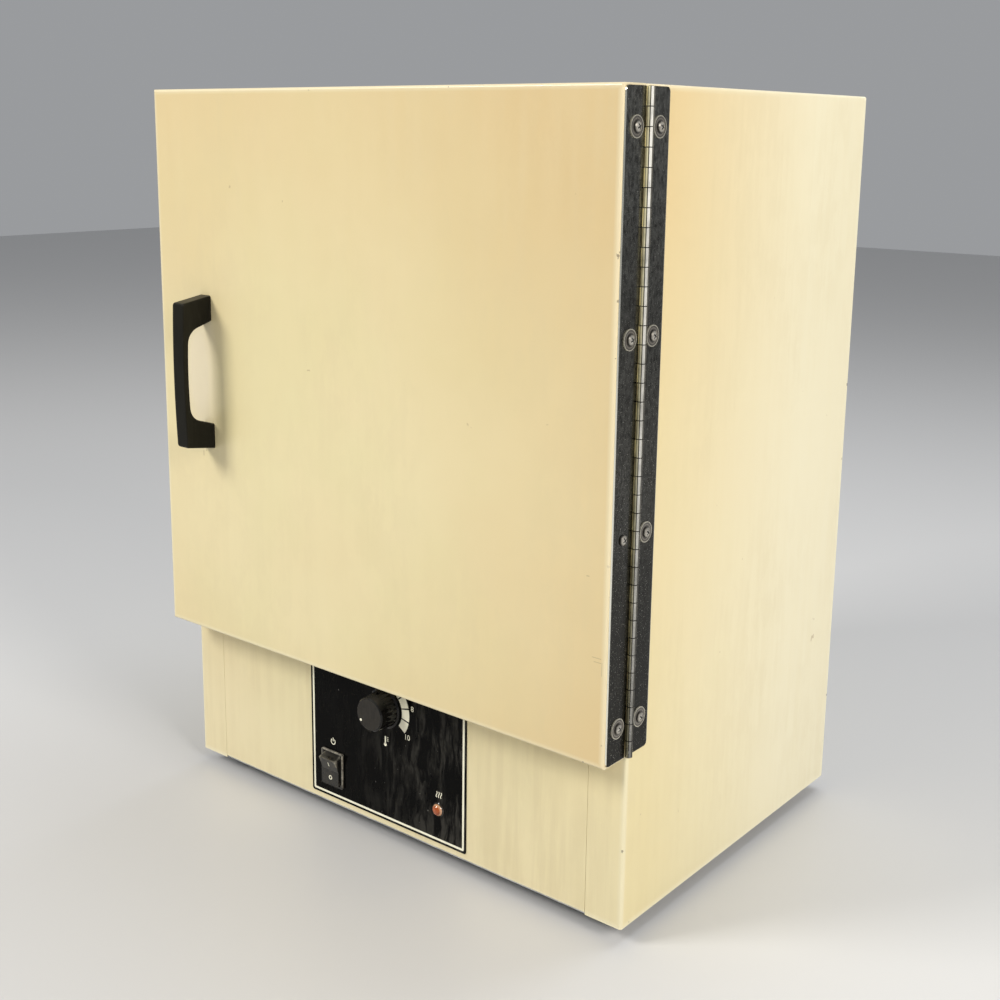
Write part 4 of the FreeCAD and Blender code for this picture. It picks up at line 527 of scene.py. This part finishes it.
# The other finishes, each by the record's slot that it dresses
finishLooks = {
    "zinc_sheet": {
        "light": (0.60, 0.61, 0.62), "dark": (0.40, 0.42, 0.44), "grain": 95, "contrast": 5.0,
        "metallic": 0.9, "rough": (0.34, 0.5), "tarnishShare": 0.12, "bump": 0.05},
    "chamber_steel": {
        "light": (0.62, 0.60, 0.55), "dark": (0.44, 0.42, 0.38), "grain": (900, 22, 900),
        "metallic": 1.0, "rough": (0.26, 0.42), "tarnish": (0.42, 0.31, 0.17), "tarnishShare": 0.3,
        "patches": 8, "dustAmount": 0.1},
    "bright_wire": {
        "light": (0.72, 0.71, 0.68), "dark": (0.55, 0.54, 0.51), "grain": 300,
        "metallic": 1.0, "rough": (0.14, 0.34), "tarnish": (0.36, 0.28, 0.18), "tarnishShare": 0.25},
    "glass_wool": {
        "light": (0.74, 0.62, 0.30), "dark": (0.52, 0.40, 0.16), "grain": (420, 420, 90),
        "contrast": 4.0, "rough": (0.9, 1.0), "bump": 0.9, "depth": 0.002, "scratchShare": 0.0},
    "element_sheath": {
        "light": (0.13, 0.12, 0.11), "dark": (0.06, 0.055, 0.05), "grain": 180,
        "metallic": 0.7, "rough": (0.5, 0.7), "tarnish": (0.20, 0.12, 0.07), "tarnishShare": 0.4},
    "ceramic_white": {
        "light": (0.80, 0.78, 0.71), "dark": (0.72, 0.69, 0.61), "grain": 260,
        "rough": (0.25, 0.5), "tarnish": (0.40, 0.33, 0.23), "tarnishShare": 0.25, "coat": 0.2},
    "copper_tube": {
        "light": (0.78, 0.43, 0.25), "dark": (0.55, 0.28, 0.15), "grain": 240,
        "metallic": 1.0, "rough": (0.24, 0.45), "tarnish": (0.20, 0.11, 0.07), "tarnishShare": 0.45,
        "patches": 50},
    "gloss_black_plastic": {
        "light": (0.013, 0.012, 0.011), "dark": (0.007, 0.007, 0.006), "grain": 600,
        "rough": (0.08, 0.24), "sheen": 0.36, "tarnish": (0.035, 0.032, 0.027), "tarnishShare": 0.5,
        "patches": (130, 130, 60), "scratch": (0.09, 0.085, 0.075), "scratchShare": 0.5,
        "scratchStretch": (260, 260, 90), "dust": (0.24, 0.23, 0.20), "dustAmount": 0.4, "bump": 0.05},
    "satin_aluminium": {
        "light": (0.026, 0.023, 0.018), "dark": (0.012, 0.010, 0.008), "grain": (420, 420, 90),
        "metallic": 0.55, "rough": (0.36, 0.55), "tarnish": (0.048, 0.042, 0.033), "tarnishShare": 0.4,
        "patches": 90, "scratch": (0.11, 0.10, 0.085), "scratchShare": 0.4,
        "scratchStretch": (300, 300, 60)},
    "black_plastic": {
        "light": (0.009, 0.0085, 0.006), "dark": (0.006, 0.0055, 0.004), "grain": 900,
        "rough": (0.30, 0.46), "sheen": 0.09, "tarnish": (0.017, 0.016, 0.011), "tarnishShare": 0.5,
        "patches": (40, 40, 12), "scratch": (0.03, 0.028, 0.022), "scratchShare": 0.3,
        "dust": (0.12, 0.11, 0.08), "dustAmount": 0.35, "bump": 0.12, "depth": 0.0001},
    "black_rubber": {
        "light": (0.022, 0.021, 0.019), "dark": (0.010, 0.010, 0.009), "grain": 400,
        "rough": (0.7, 0.9), "tarnish": (0.06, 0.055, 0.045), "tarnishShare": 0.4, "bump": 0.3},
    "silicone_seal": {
        "light": (0.52, 0.17, 0.10), "dark": (0.38, 0.11, 0.06), "grain": 150,
        "rough": (0.5, 0.7), "tarnish": (0.24, 0.11, 0.07), "tarnishShare": 0.4},
    "catch_iron": {
        "light": (0.26, 0.25, 0.24), "dark": (0.12, 0.115, 0.11), "grain": 300,
        "metallic": 0.8, "rough": (0.45, 0.65), "tarnish": (0.18, 0.10, 0.06), "tarnishShare": 0.4},
    "white_print": {
        "light": (1.0, 0.985, 0.80), "dark": (0.93, 0.90, 0.71), "grain": (500, 500, 120),
        "contrast": 2.0, "rough": (0.4, 0.6), "tarnish": (0.45, 0.42, 0.30), "tarnishShare": 0.15,
        "patches": (110, 110, 60), "scratchShare": 0.0, "dustAmount": 0.0},
}


def camelName(name):
    first, *rest = name.split("_")
    return first + "".join(word.title() for word in rest)


finishes = {name: makeFinish(camelName(name), look)[0] for name, look in finishLooks.items()}

# Knob: the glossy black plastic, deeper and smoother
knobLook = {
    **finishLooks["gloss_black_plastic"], "light": (0.006, 0.0055, 0.005), "dark": (0.003, 0.003, 0.0025),
    "rough": (0.03, 0.10), "sheen": 0.30, "tarnish": (0.012, 0.011, 0.009), "dustAmount": 0.25}
finishes["knob_plastic"] = makeFinish("knobPlastic", knobLook)[0]

# Switch: the same plastic, with painted highlights along the upper and right edges of the rocker's box and the
# housing's
highlightLook = {
    **finishLooks["gloss_black_plastic"], "lightTone": (0.62, 0.57, 0.46), "spots": ((420, 420, 300), 4.0),
    "spotShares": (0.25, 0.9), "upperRight": (0.4, 0.62), "rockerWidth": 0.0045, "housingWidth": 0.0016}


def makeRubbed(name, node, width):
    # the band of the box's edges, times spots, times a rise from its lower left to its upper right, which
    # follows x and z added
    material, tree, shader, place, colour = makeFinish(name, highlightLook)
    low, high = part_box(node)
    edge = edgeOf(tree, place, low, high, width)
    spots = tree.spread(grainOf(tree, place, *highlightLook["spots"])["Mask"], 0.0, 1.0, *highlightLook["spotShares"])
    axes = tree.split(place)
    start, stop = low[0] + low[2], high[0] + high[2]
    side = tree.spread(tree.plus(axes["X"], axes["Z"]),
                       *(start + (stop - start) * share for share in highlightLook["upperRight"]))
    # painted highlight: paler grey on the upper and right edges, broken in spots
    share = tree.times(edge, spots, side)
    tree.put(tree.mix(share, colour, highlightLook["lightTone"]), shader.inputs["Base Color"])
    return material


finishes["rocker_plastic"] = makeRubbed("rockerPlastic", "power_rocker", highlightLook["rockerWidth"])
finishes["housing_plastic"] = makeRubbed("housingPlastic", "switch_housing", highlightLook["housingWidth"])
finishes["gloss_black_face"] = makePanelFace()
finishes["amber_lens"] = makeLens()
finishes["bright_screw"] = makeScrews()
finishes["hinge_bright"] = makeHinge()
cabinetEnamel = makeEnamel("cabinetEnamel", wrapLow, wrapHigh, cabinetLook)
doorEnamel = makeEnamel("doorEnamel", *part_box("door_pan"), doorLook)
print("finishes made", len(finishes) + 2)

# Three nodes have a finish of their own. The others take the one that their slot names
ownFinish = {"temperature_knob": "knob_plastic", "power_rocker": "rocker_plastic",
             "switch_housing": "housing_plastic"}
for name, node in nodes.items():
    for place in node.material_slots:
        slotName = ownFinish.get(name, place.material.name.split(".")[0])
        enamel = doorEnamel if name == "door_pan" else cabinetEnamel
        place.material = enamel if slotName == "cream_enamel" else finishes[slotName]
print("nodes dressed")

# New pieces are drawn in millimetres in the cabinet's own frame and put into the mesh in metres
pieceLook = {"unit": 1000, "weld": 0.000002}


def gridFaces(rows, columns, closedRows):
    # quads between neighbours of a grid of points. Its columns go round, and its rows where they are closed
    r = np.arange(rows if closedRows else rows - 1)[:, None]
    c = np.arange(columns)[None, :]
    nextRow, nextColumn = (r + 1) % rows, (c + 1) % columns
    corners = [r * columns + c, r * columns + nextColumn, nextRow * columns + nextColumn, nextRow * columns + c]
    return np.stack(np.broadcast_arrays(*corners), -1).reshape(-1, 4)


def addObject(name, data):
    thing = bpy.data.objects.new(name, data)
    bpy.context.scene.collection.objects.link(thing)
    return thing


def addPiece(name, points, faces, finish):
    # the points by the unit, moved to the cabinet's front lower edge
    placed = np.concatenate(points) / pieceLook["unit"] + np.array((0, frontY, baseZ))
    mesh = bpy.data.meshes.new(name)
    mesh.from_pydata(placed.tolist(), [], faces)
    mesh.materials.append(finish)
    return addObject(name, mesh)


def makePiece(name, grids, finish, body, slotName, smooth=False):
    # grids is a list of (points in rows and columns, whether the rows go round); columns always do
    points, faces, count = [], [], 0
    for grid, closedRows in grids:
        rows, columns = grid.shape[:2]
        points.append(grid.reshape(-1, 3))
        faces += (gridFaces(rows, columns, closedRows) + count).tolist()
        if not closedRows:
            faces.append([count + c for c in range(columns)][::-1])
            faces.append([count + (rows - 1) * columns + c for c in range(columns)])
        count += rows * columns
    piece = addPiece(name, points, faces, finish)
    solid = bmesh.new()
    solid.from_mesh(piece.data)
    bmesh.ops.remove_doubles(solid, verts=solid.verts, dist=pieceLook["weld"])
    bmesh.ops.dissolve_degenerate(solid, edges=solid.edges, dist=pieceLook["weld"])
    bmesh.ops.recalc_face_normals(solid, faces=solid.faces)
    solid.to_mesh(piece.data)
    solid.free()
    piece.data.polygons.foreach_set("use_smooth", np.full(len(piece.data.polygons), smooth))
    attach(piece, body)
    return piece


# Flat prints and inlays lie on a plane: where its middle is, its two directions and the way it faces
class Plane:
    def __init__(self, middle, across, up):
        self.middle, self.across, self.up = (np.array(v, float) for v in (middle, across, up))
        self.out = np.cross(self.across, self.up)

    def lay(self, outer, inner, layer):
        # a strip between two curves of the plane: its section is a rectangle from below to above it, by the
        # layer's lift and thickness
        lift, thick = layer
        curves = np.stack([outer, inner, inner, outer], 1)
        heights = np.array([lift, lift, lift - thick, lift - thick])[None, :, None]
        flat = self.middle + curves[..., :1] * self.across + curves[..., 1:] * self.up
        return flat + heights * self.out


def arcOf(radius, start, stop, steps, middle=(0, 0)):
    # points at one distance from the middle, their angle running evenly from start to stop in degrees
    angle = np.radians(np.linspace(start, stop, steps))
    return np.stack([middle[0] + radius * np.cos(angle), middle[1] + radius * np.sin(angle)], 1)


def discOf(plane, middle, radius, layer, steps=25):
    # a disc as the strip between its upper and its lower half circle
    upper, lower = (arcOf(radius, start, 0, steps, middle) for start in (180, -180))
    return plane.lay(upper, lower, layer)


def barOf(plane, start, stop, width, layer):
    # a straight bar: the strip between two lines, each half the width from its middle line
    start, stop = np.array(start, float), np.array(stop, float)
    way = (stop - start) / np.linalg.norm(stop - start)
    side = np.array((-way[1], way[0])) * width / 2
    return plane.lay(np.stack([start + side, stop + side]), np.stack([start - side, stop - side]), layer)


def roundedFrame(halfWidth, low, high, radius, steps=6):
    # a rectangle with rounded corners: quarter circles about its four corner centres, in turn
    centres = [(halfWidth - radius, high - radius), (radius - halfWidth, high - radius),
               (radius - halfWidth, low + radius), (halfWidth - radius, low + radius)]
    return np.concatenate([arcOf(radius, 90 * i, 90 * i + 90, steps, c) for i, c in enumerate(centres)])


# Print on the panel face: a border, the dial's band from its middle to ten, and the dial's numbers
printLook = {
    "face": -0.5, "layer": (0.06, 0.12), "halfWidth": 86.75, "low": 6.7, "high": 146.0, "margin": 2.0,
    "line": 1.9, "corner": 1.6, "innerCorner": 0.4, "dialHeight": 106.0, "bandInner": 18.6, "bandOuter": 26.6,
    "bandMarks": (5, 10), "bandSteps": 9, "dialStart": 218.0, "dialStep": 25.6, "tick": 3.0,
    "digits": (6, 8, 10), "digitRadius": 30.6, "digitHeight": 4.6, "digitShare": 0.7, "digitSteps": 3}
panelPlane = Plane((0, printLook["face"], 0), (1, 0, 0), (0, 0, 1))
onPanel = (finishes["white_print"], "cabinet", "gloss_black_face")


def makeBorder():
    look = printLook
    low, high = look["low"] + look["margin"], look["high"] - look["margin"]
    half = look["halfWidth"] - look["margin"]
    outer = roundedFrame(half, low, high, look["corner"])
    inner = roundedFrame(half - look["line"], low + look["line"], high - look["line"], look["innerCorner"])
    grid = panelPlane.lay(outer, inner, look["layer"])
    makePiece("panelBorder", [(grid, True)], *onPanel)


def makeDialBand():
    # one piece of the band between each two marks, with half a tick left free at both its ends
    look = printLook
    middle = (0, look["dialHeight"])
    grids = []
    for part in range(*look["bandMarks"]):
        start = look["dialStart"] - look["dialStep"] * part - look["tick"] / 2
        stop = start - look["dialStep"] + look["tick"]
        outer, inner = (arcOf(look[side], start, stop, look["bandSteps"], middle)
                        for side in ("bandOuter", "bandInner"))
        grids.append((panelPlane.lay(outer, inner, look["layer"]), False))
    makePiece("dialBand", grids, *onPanel)


def makeDialNumbers():
    # plain figures from the program's own font, their height a share of its size, made a mesh before they
    # are placed
    look = printLook
    points, faces, count = [], [], 0
    for mark in look["digits"]:
        words = bpy.data.curves.new("figure", "FONT")
        words.body, words.size = str(mark), look["digitHeight"] / look["digitShare"]
        words.extrude = look["layer"][1] / 2
        words.align_x = words.align_y = "CENTER"
        words.resolution_u = look["digitSteps"]
        holder = bpy.data.objects.new("figure", words)
        flat = bpy.data.meshes.new_from_object(holder)
        bpy.data.objects.remove(holder)
        local = np.empty(len(flat.vertices) * 3)
        flat.vertices.foreach_get("co", local)
        local = local.reshape(-1, 3)
        angle = look["dialStart"] - look["dialStep"] * mark
        x, z = arcOf(look["digitRadius"], angle, angle, 1, (0, look["dialHeight"]))[0]
        points.append(np.stack([local[:, 0] + x, look["face"] - local[:, 2], local[:, 1] + z], 1))
        faces += [[count + v for v in polygon.vertices] for polygon in flat.polygons]
        count += len(local)
        bpy.data.meshes.remove(flat)
    piece = addPiece("dialNumbers", points, faces, finishes["white_print"])
    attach(piece, "cabinet")


# Plain signs where the words were: a thermometer under the dial, a ring and bar over the switch, and waves
# over the lamp. The bulb, both drops, the rungs and barTo are shares of their sign's size
signLook = {
    "layer": (0.06, 0.12), "line": 0.8, "dialSign": (0, 77), "dialSignSize": 4.2, "bulbDrop": 0.7,
    "bulb": 0.36, "stemDrop": 0.6, "stemLine": 1.2, "rungs": (0.2, 0.55, 0.9), "rungLine": 0.4,
    "rungReach": (1.6, 3.4), "switchSign": (-61, 58), "switchSignSize": 2.8, "ringTurn": (125, 415),
    "ringSteps": 40, "barFrom": 0.3, "barTo": 1.25, "lampSign": (58.3, 48.5), "lampSignSize": 2.6,
    "waves": (-2.3, 0, 2.3), "waveReach": 0.55, "waveSteps": 21}


def makeSigns():
    look = signLook
    layer, line = look["layer"], look["line"]
    (x, z), size = look["dialSign"], look["dialSignSize"]
    grids = [discOf(panelPlane, (x, z - size * look["bulbDrop"]), size * look["bulb"], layer),
             barOf(panelPlane, (x, z - size * look["stemDrop"]), (x, z + size), look["stemLine"], layer)]
    for rung in look["rungs"]:
        start, stop = ((x + reach, z + size * rung) for reach in look["rungReach"])
        grids.append(barOf(panelPlane, start, stop, look["rungLine"], layer))
    (x, z), size = look["switchSign"], look["switchSignSize"]
    outer, inner = (arcOf(radius, *look["ringTurn"], look["ringSteps"], (x, z))
                    for radius in (size, size - line))
    grids.append(panelPlane.lay(outer, inner, layer))
    grids.append(barOf(panelPlane, (x, z + look["barFrom"]), (x, z + size * look["barTo"]), line, layer))
    (x, z), size = look["lampSign"], look["lampSignSize"]
    for shift in look["waves"]:
        # a wave: the distance across follows a sine of the height
        up = np.linspace(-size, size, look["waveSteps"])
        across = x + shift + look["waveReach"] * np.sin(up / size * math.pi)
        left, right = (np.stack([across + side * line / 2, z + up], 1) for side in (-1, 1))
        grids.append(panelPlane.lay(left, right, layer))
    grids = [(grid, False) for grid in grids]
    makePiece("panelSigns", grids, *onPanel)


# Knob face: a white dot near its rim and a fine line to its middle
pointerLook = {
    "face": -19.5, "height": 106.0, "turn": -145.0, "dotAt": 11.0, "dot": 1.15, "dotLayer": (0.08, 0.16),
    "lineReach": (2.0, 9.4), "line": 0.35, "lineLayer": (0.02, 0.16)}


def makePointer():
    look = pointerLook
    plane = Plane((0, look["face"], look["height"]), (1, 0, 0), (0, 0, 1))
    way = arcOf(1, look["turn"], look["turn"], 1)[0]
    dot = discOf(plane, way * look["dotAt"], look["dot"], look["dotLayer"])
    line = barOf(plane, *(way * reach for reach in look["lineReach"]), look["line"], look["lineLayer"])
    for name, grid, finish in (("knobDot", dot, "white_print"), ("knobLine", line, "gloss_black_plastic")):
        makePiece(name, [(grid, False)], finishes[finish], "temperature_dial", "satin_aluminium")


# Rocker signs, a bar and a ring, each in the middle of one of the rocker's two faces
rockerLook = {
    "pivot": (-61.0, 1.0, 34.0), "tilt": 10.0, "middle": 5.2, "end": 7.5, "reach": 11.94, "signAt": 6.6,
    "bar": 2.0, "ring": 1.9, "ringSteps": 41, "line": 0.75, "layer": (0.05, 0.1)}


def makeRockerSigns():
    look = rockerLook
    tilt = math.radians(look["tilt"])
    c, s = math.cos(tilt), math.sin(tilt)
    grids = []
    for way in (1, -1):
        # the face runs from the rocker's middle line to its end, both turned by the tilt about the pivot
        local = np.array([(-look["middle"], 0.0), (-look["end"], way * look["reach"])])
        turned = np.stack([local[:, 0] * c - local[:, 1] * s, local[:, 0] * s + local[:, 1] * c], 1)
        run = (turned[1] - turned[0]) / np.linalg.norm(turned[1] - turned[0]) * way
        start = np.array(look["pivot"]) + np.array((0, *turned[0]))
        plane = Plane(start, (1, 0, 0), (0, *run))
        if way == 1:
            ends = ((0, look["signAt"] + side * look["bar"]) for side in (-1, 1))
            grids.append((barOf(plane, *ends, look["line"], look["layer"]), False))
        else:
            outer, inner = (arcOf(radius, 0, 360, look["ringSteps"], (0, -look["signAt"]))[:-1]
                            for radius in (look["ring"], look["ring"] - look["line"]))
            grids.append((plane.lay(outer, inner, look["layer"]), True))
    makePiece("rockerSigns", grids, finishes["white_print"], "power_switch", "gloss_black_plastic")


# Handle: two legs and a bowed bar in one moulding, its section a rounded rectangle all the way
handleLook = {
    "middle": (-175.2, 366.0), "width": 13.6, "door": -29.0, "bow": 1.5, "outerDepth": -57.5,
    "outerFoot": 64.5, "outerFace": 60.0, "outerRound": 1.6, "innerDepth": -52.6, "innerFoot": 43.2,
    "innerFace": 36.0, "innerRound": 11.0, "squareness": 0.16, "around": 40, "legSteps": 10, "cornerSteps": 14,
    "barSteps": 18}


def halfCurve(side):
    # from the foot along the leg, round the corner by a quadratic blend of three points, along the bowed bar
    look = handleLook
    foot, face, depth, corner = (look[side + part] for part in ("Foot", "Face", "Depth", "Round"))
    footPoint, facePoint = np.array((look["door"], foot)), np.array((depth, face))
    leg = (facePoint - footPoint) / np.linalg.norm(facePoint - footPoint)
    before = facePoint - leg * corner
    across = face - corner
    after = np.array((depth - look["bow"] * (1 - (across / face) ** 2), across))
    t = np.linspace(0, 1, look["legSteps"], endpoint=False)[:, None]
    u = np.linspace(0, 1, look["cornerSteps"], endpoint=False)[:, None]
    z = np.linspace(across, 0, look["barSteps"])
    legPart = footPoint + (before - footPoint) * t
    cornerPart = before * (1 - u) ** 2 + facePoint * 2 * u * (1 - u) + after * u ** 2
    barPart = np.stack([depth - look["bow"] * (1 - (z / face) ** 2), z], 1)
    half = np.concatenate([legPart, cornerPart, barPart])
    other = half[-2::-1] * np.array((1, -1))
    return np.concatenate([half, other])


def makeHandle():
    # each section lies between a point of the outer curve and its partner on the inner curve. Round it, the
    # place is a power of the cosine across that span and the same power of the sine across the width
    look = handleLook
    outer, inner = halfCurve("outer"), halfCurve("inner")
    angle = np.linspace(0, 2 * math.pi, look["around"], endpoint=False) + math.pi / look["around"]
    span, side = (np.sign(wave) * np.abs(wave) ** look["squareness"] for wave in (np.cos(angle), np.sin(angle)))
    middle, half = (outer + inner) / 2, (outer - inner) / 2
    flat = middle[:, None, :] + half[:, None, :] * span[None, :, None]
    x = look["middle"][0] + np.broadcast_to(side * look["width"] / 2, flat.shape[:2])
    grid = np.stack([x, flat[..., 0], look["middle"][1] + flat[..., 1]], -1)
    handle = makePiece("pullHandle", [(grid, False)], finishes["black_plastic"], "door", "black_plastic", True)
    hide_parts("door_handle")


for make in (makeBorder, makeDialBand, makeDialNumbers, makeSigns, makePointer, makeRockerSigns, makeHandle):
    make()
print("prints, signs and handle made")

# Stage: a pale floor and a soft grey surround
stageLook = {
    "floorSide": 12.0, "floorColour": (0.60, 0.60, 0.60), "floorRoughness": 0.45,
    "surround": (0.80, 0.82, 0.85), "surroundStrength": 0.40}


def makeFloor():
    # a flat grid of one cell: x and y run from minus to plus half the side, z is the bench top
    half = stageLook["floorSide"] / 2
    mesh = bpy.data.meshes.new("floor")
    corners = [(-half, -half, 0), (half, -half, 0), (half, half, 0), (-half, half, 0)]
    mesh.from_pydata(corners, [], [(0, 1, 2, 3)])
    floor = addObject("floor", mesh)
    material, tree, shader = newMaterial("floorPaper")[:3]
    tree.fill(shader, {"Base Color": stageLook["floorColour"], "Roughness": stageLook["floorRoughness"]})
    mesh.materials.append(material)


def makeSurround():
    world = bpy.data.worlds.new("studio")
    world.use_nodes = True
    Tree(world.node_tree).fill(world.node_tree.nodes["Background"], {
        "Color": stageLook["surround"], "Strength": stageLook["surroundStrength"]})
    bpy.context.scene.world = world


# Each light: where it stands and what it aims at in metres, its side, its power and its colour
lightLook = {
    "keyLamp": ((-1.5, -2.2, 2.1), (0, 0, 0.35), 1.0, 68, (1.0, 0.97, 0.92)),
    "sideLamp": ((2.3, -0.6, 1.5), (0.2, 0, 0.3), 1.0, 46, (1.0, 0.95, 0.88)),
    "topLamp": ((0.2, 0.9, 2.4), (0, 0, 0.5), 1.5, 26, (0.93, 0.96, 1.0)),
}


def makeLights():
    for name, (place, aim, side, power, colour) in lightLook.items():
        lamp = bpy.data.lights.new(name, "AREA")
        lamp.size = side
        lamp.energy = power
        lamp.color = colour
        holder = addObject(name, lamp)
        holder.location = place
        holder.rotation_euler = (Vector(aim) - Vector(place)).to_track_quat("-Z", "Y").to_euler()


# Camera: fitted to the cabinet's corners in the photograph, which is 1000 pixels square
cameraLook = {
    "place": (0.72303, -0.75722, 0.56518), "yaw": 39.15, "pitch": 12.13, "roll": 0.63, "focalPixels": 1373.1,
    "centre": (490.3, 426.5), "imageSide": 1000, "sensor": 36.0}


def makeCamera():
    look = cameraLook
    lens = bpy.data.cameras.new("photoCamera")
    lens.sensor_width = look["sensor"]
    lens.lens = look["focalPixels"] * look["sensor"] / look["imageSide"]
    lens.shift_x = (look["imageSide"] / 2 - look["centre"][0]) / look["imageSide"]
    lens.shift_y = (look["centre"][1] - look["imageSide"] / 2) / look["imageSide"]
    camera = addObject("photoCamera", lens)
    turn = (Matrix.Rotation(math.radians(look["yaw"]), 4, "Z")
            @ Matrix.Rotation(math.radians(90 - look["pitch"]), 4, "X")
            @ Matrix.Rotation(math.radians(look["roll"]), 4, "Z"))
    x, y, z = look["place"]
    camera.matrix_world = Matrix.Translation((x, y + frontY, z + baseZ)) @ turn
    bpy.context.scene.camera = camera


makeFloor()
makeSurround()
makeLights()
makeCamera()
bpy.context.scene.view_settings.view_transform = "Standard"
print("stage, lights and camera made")
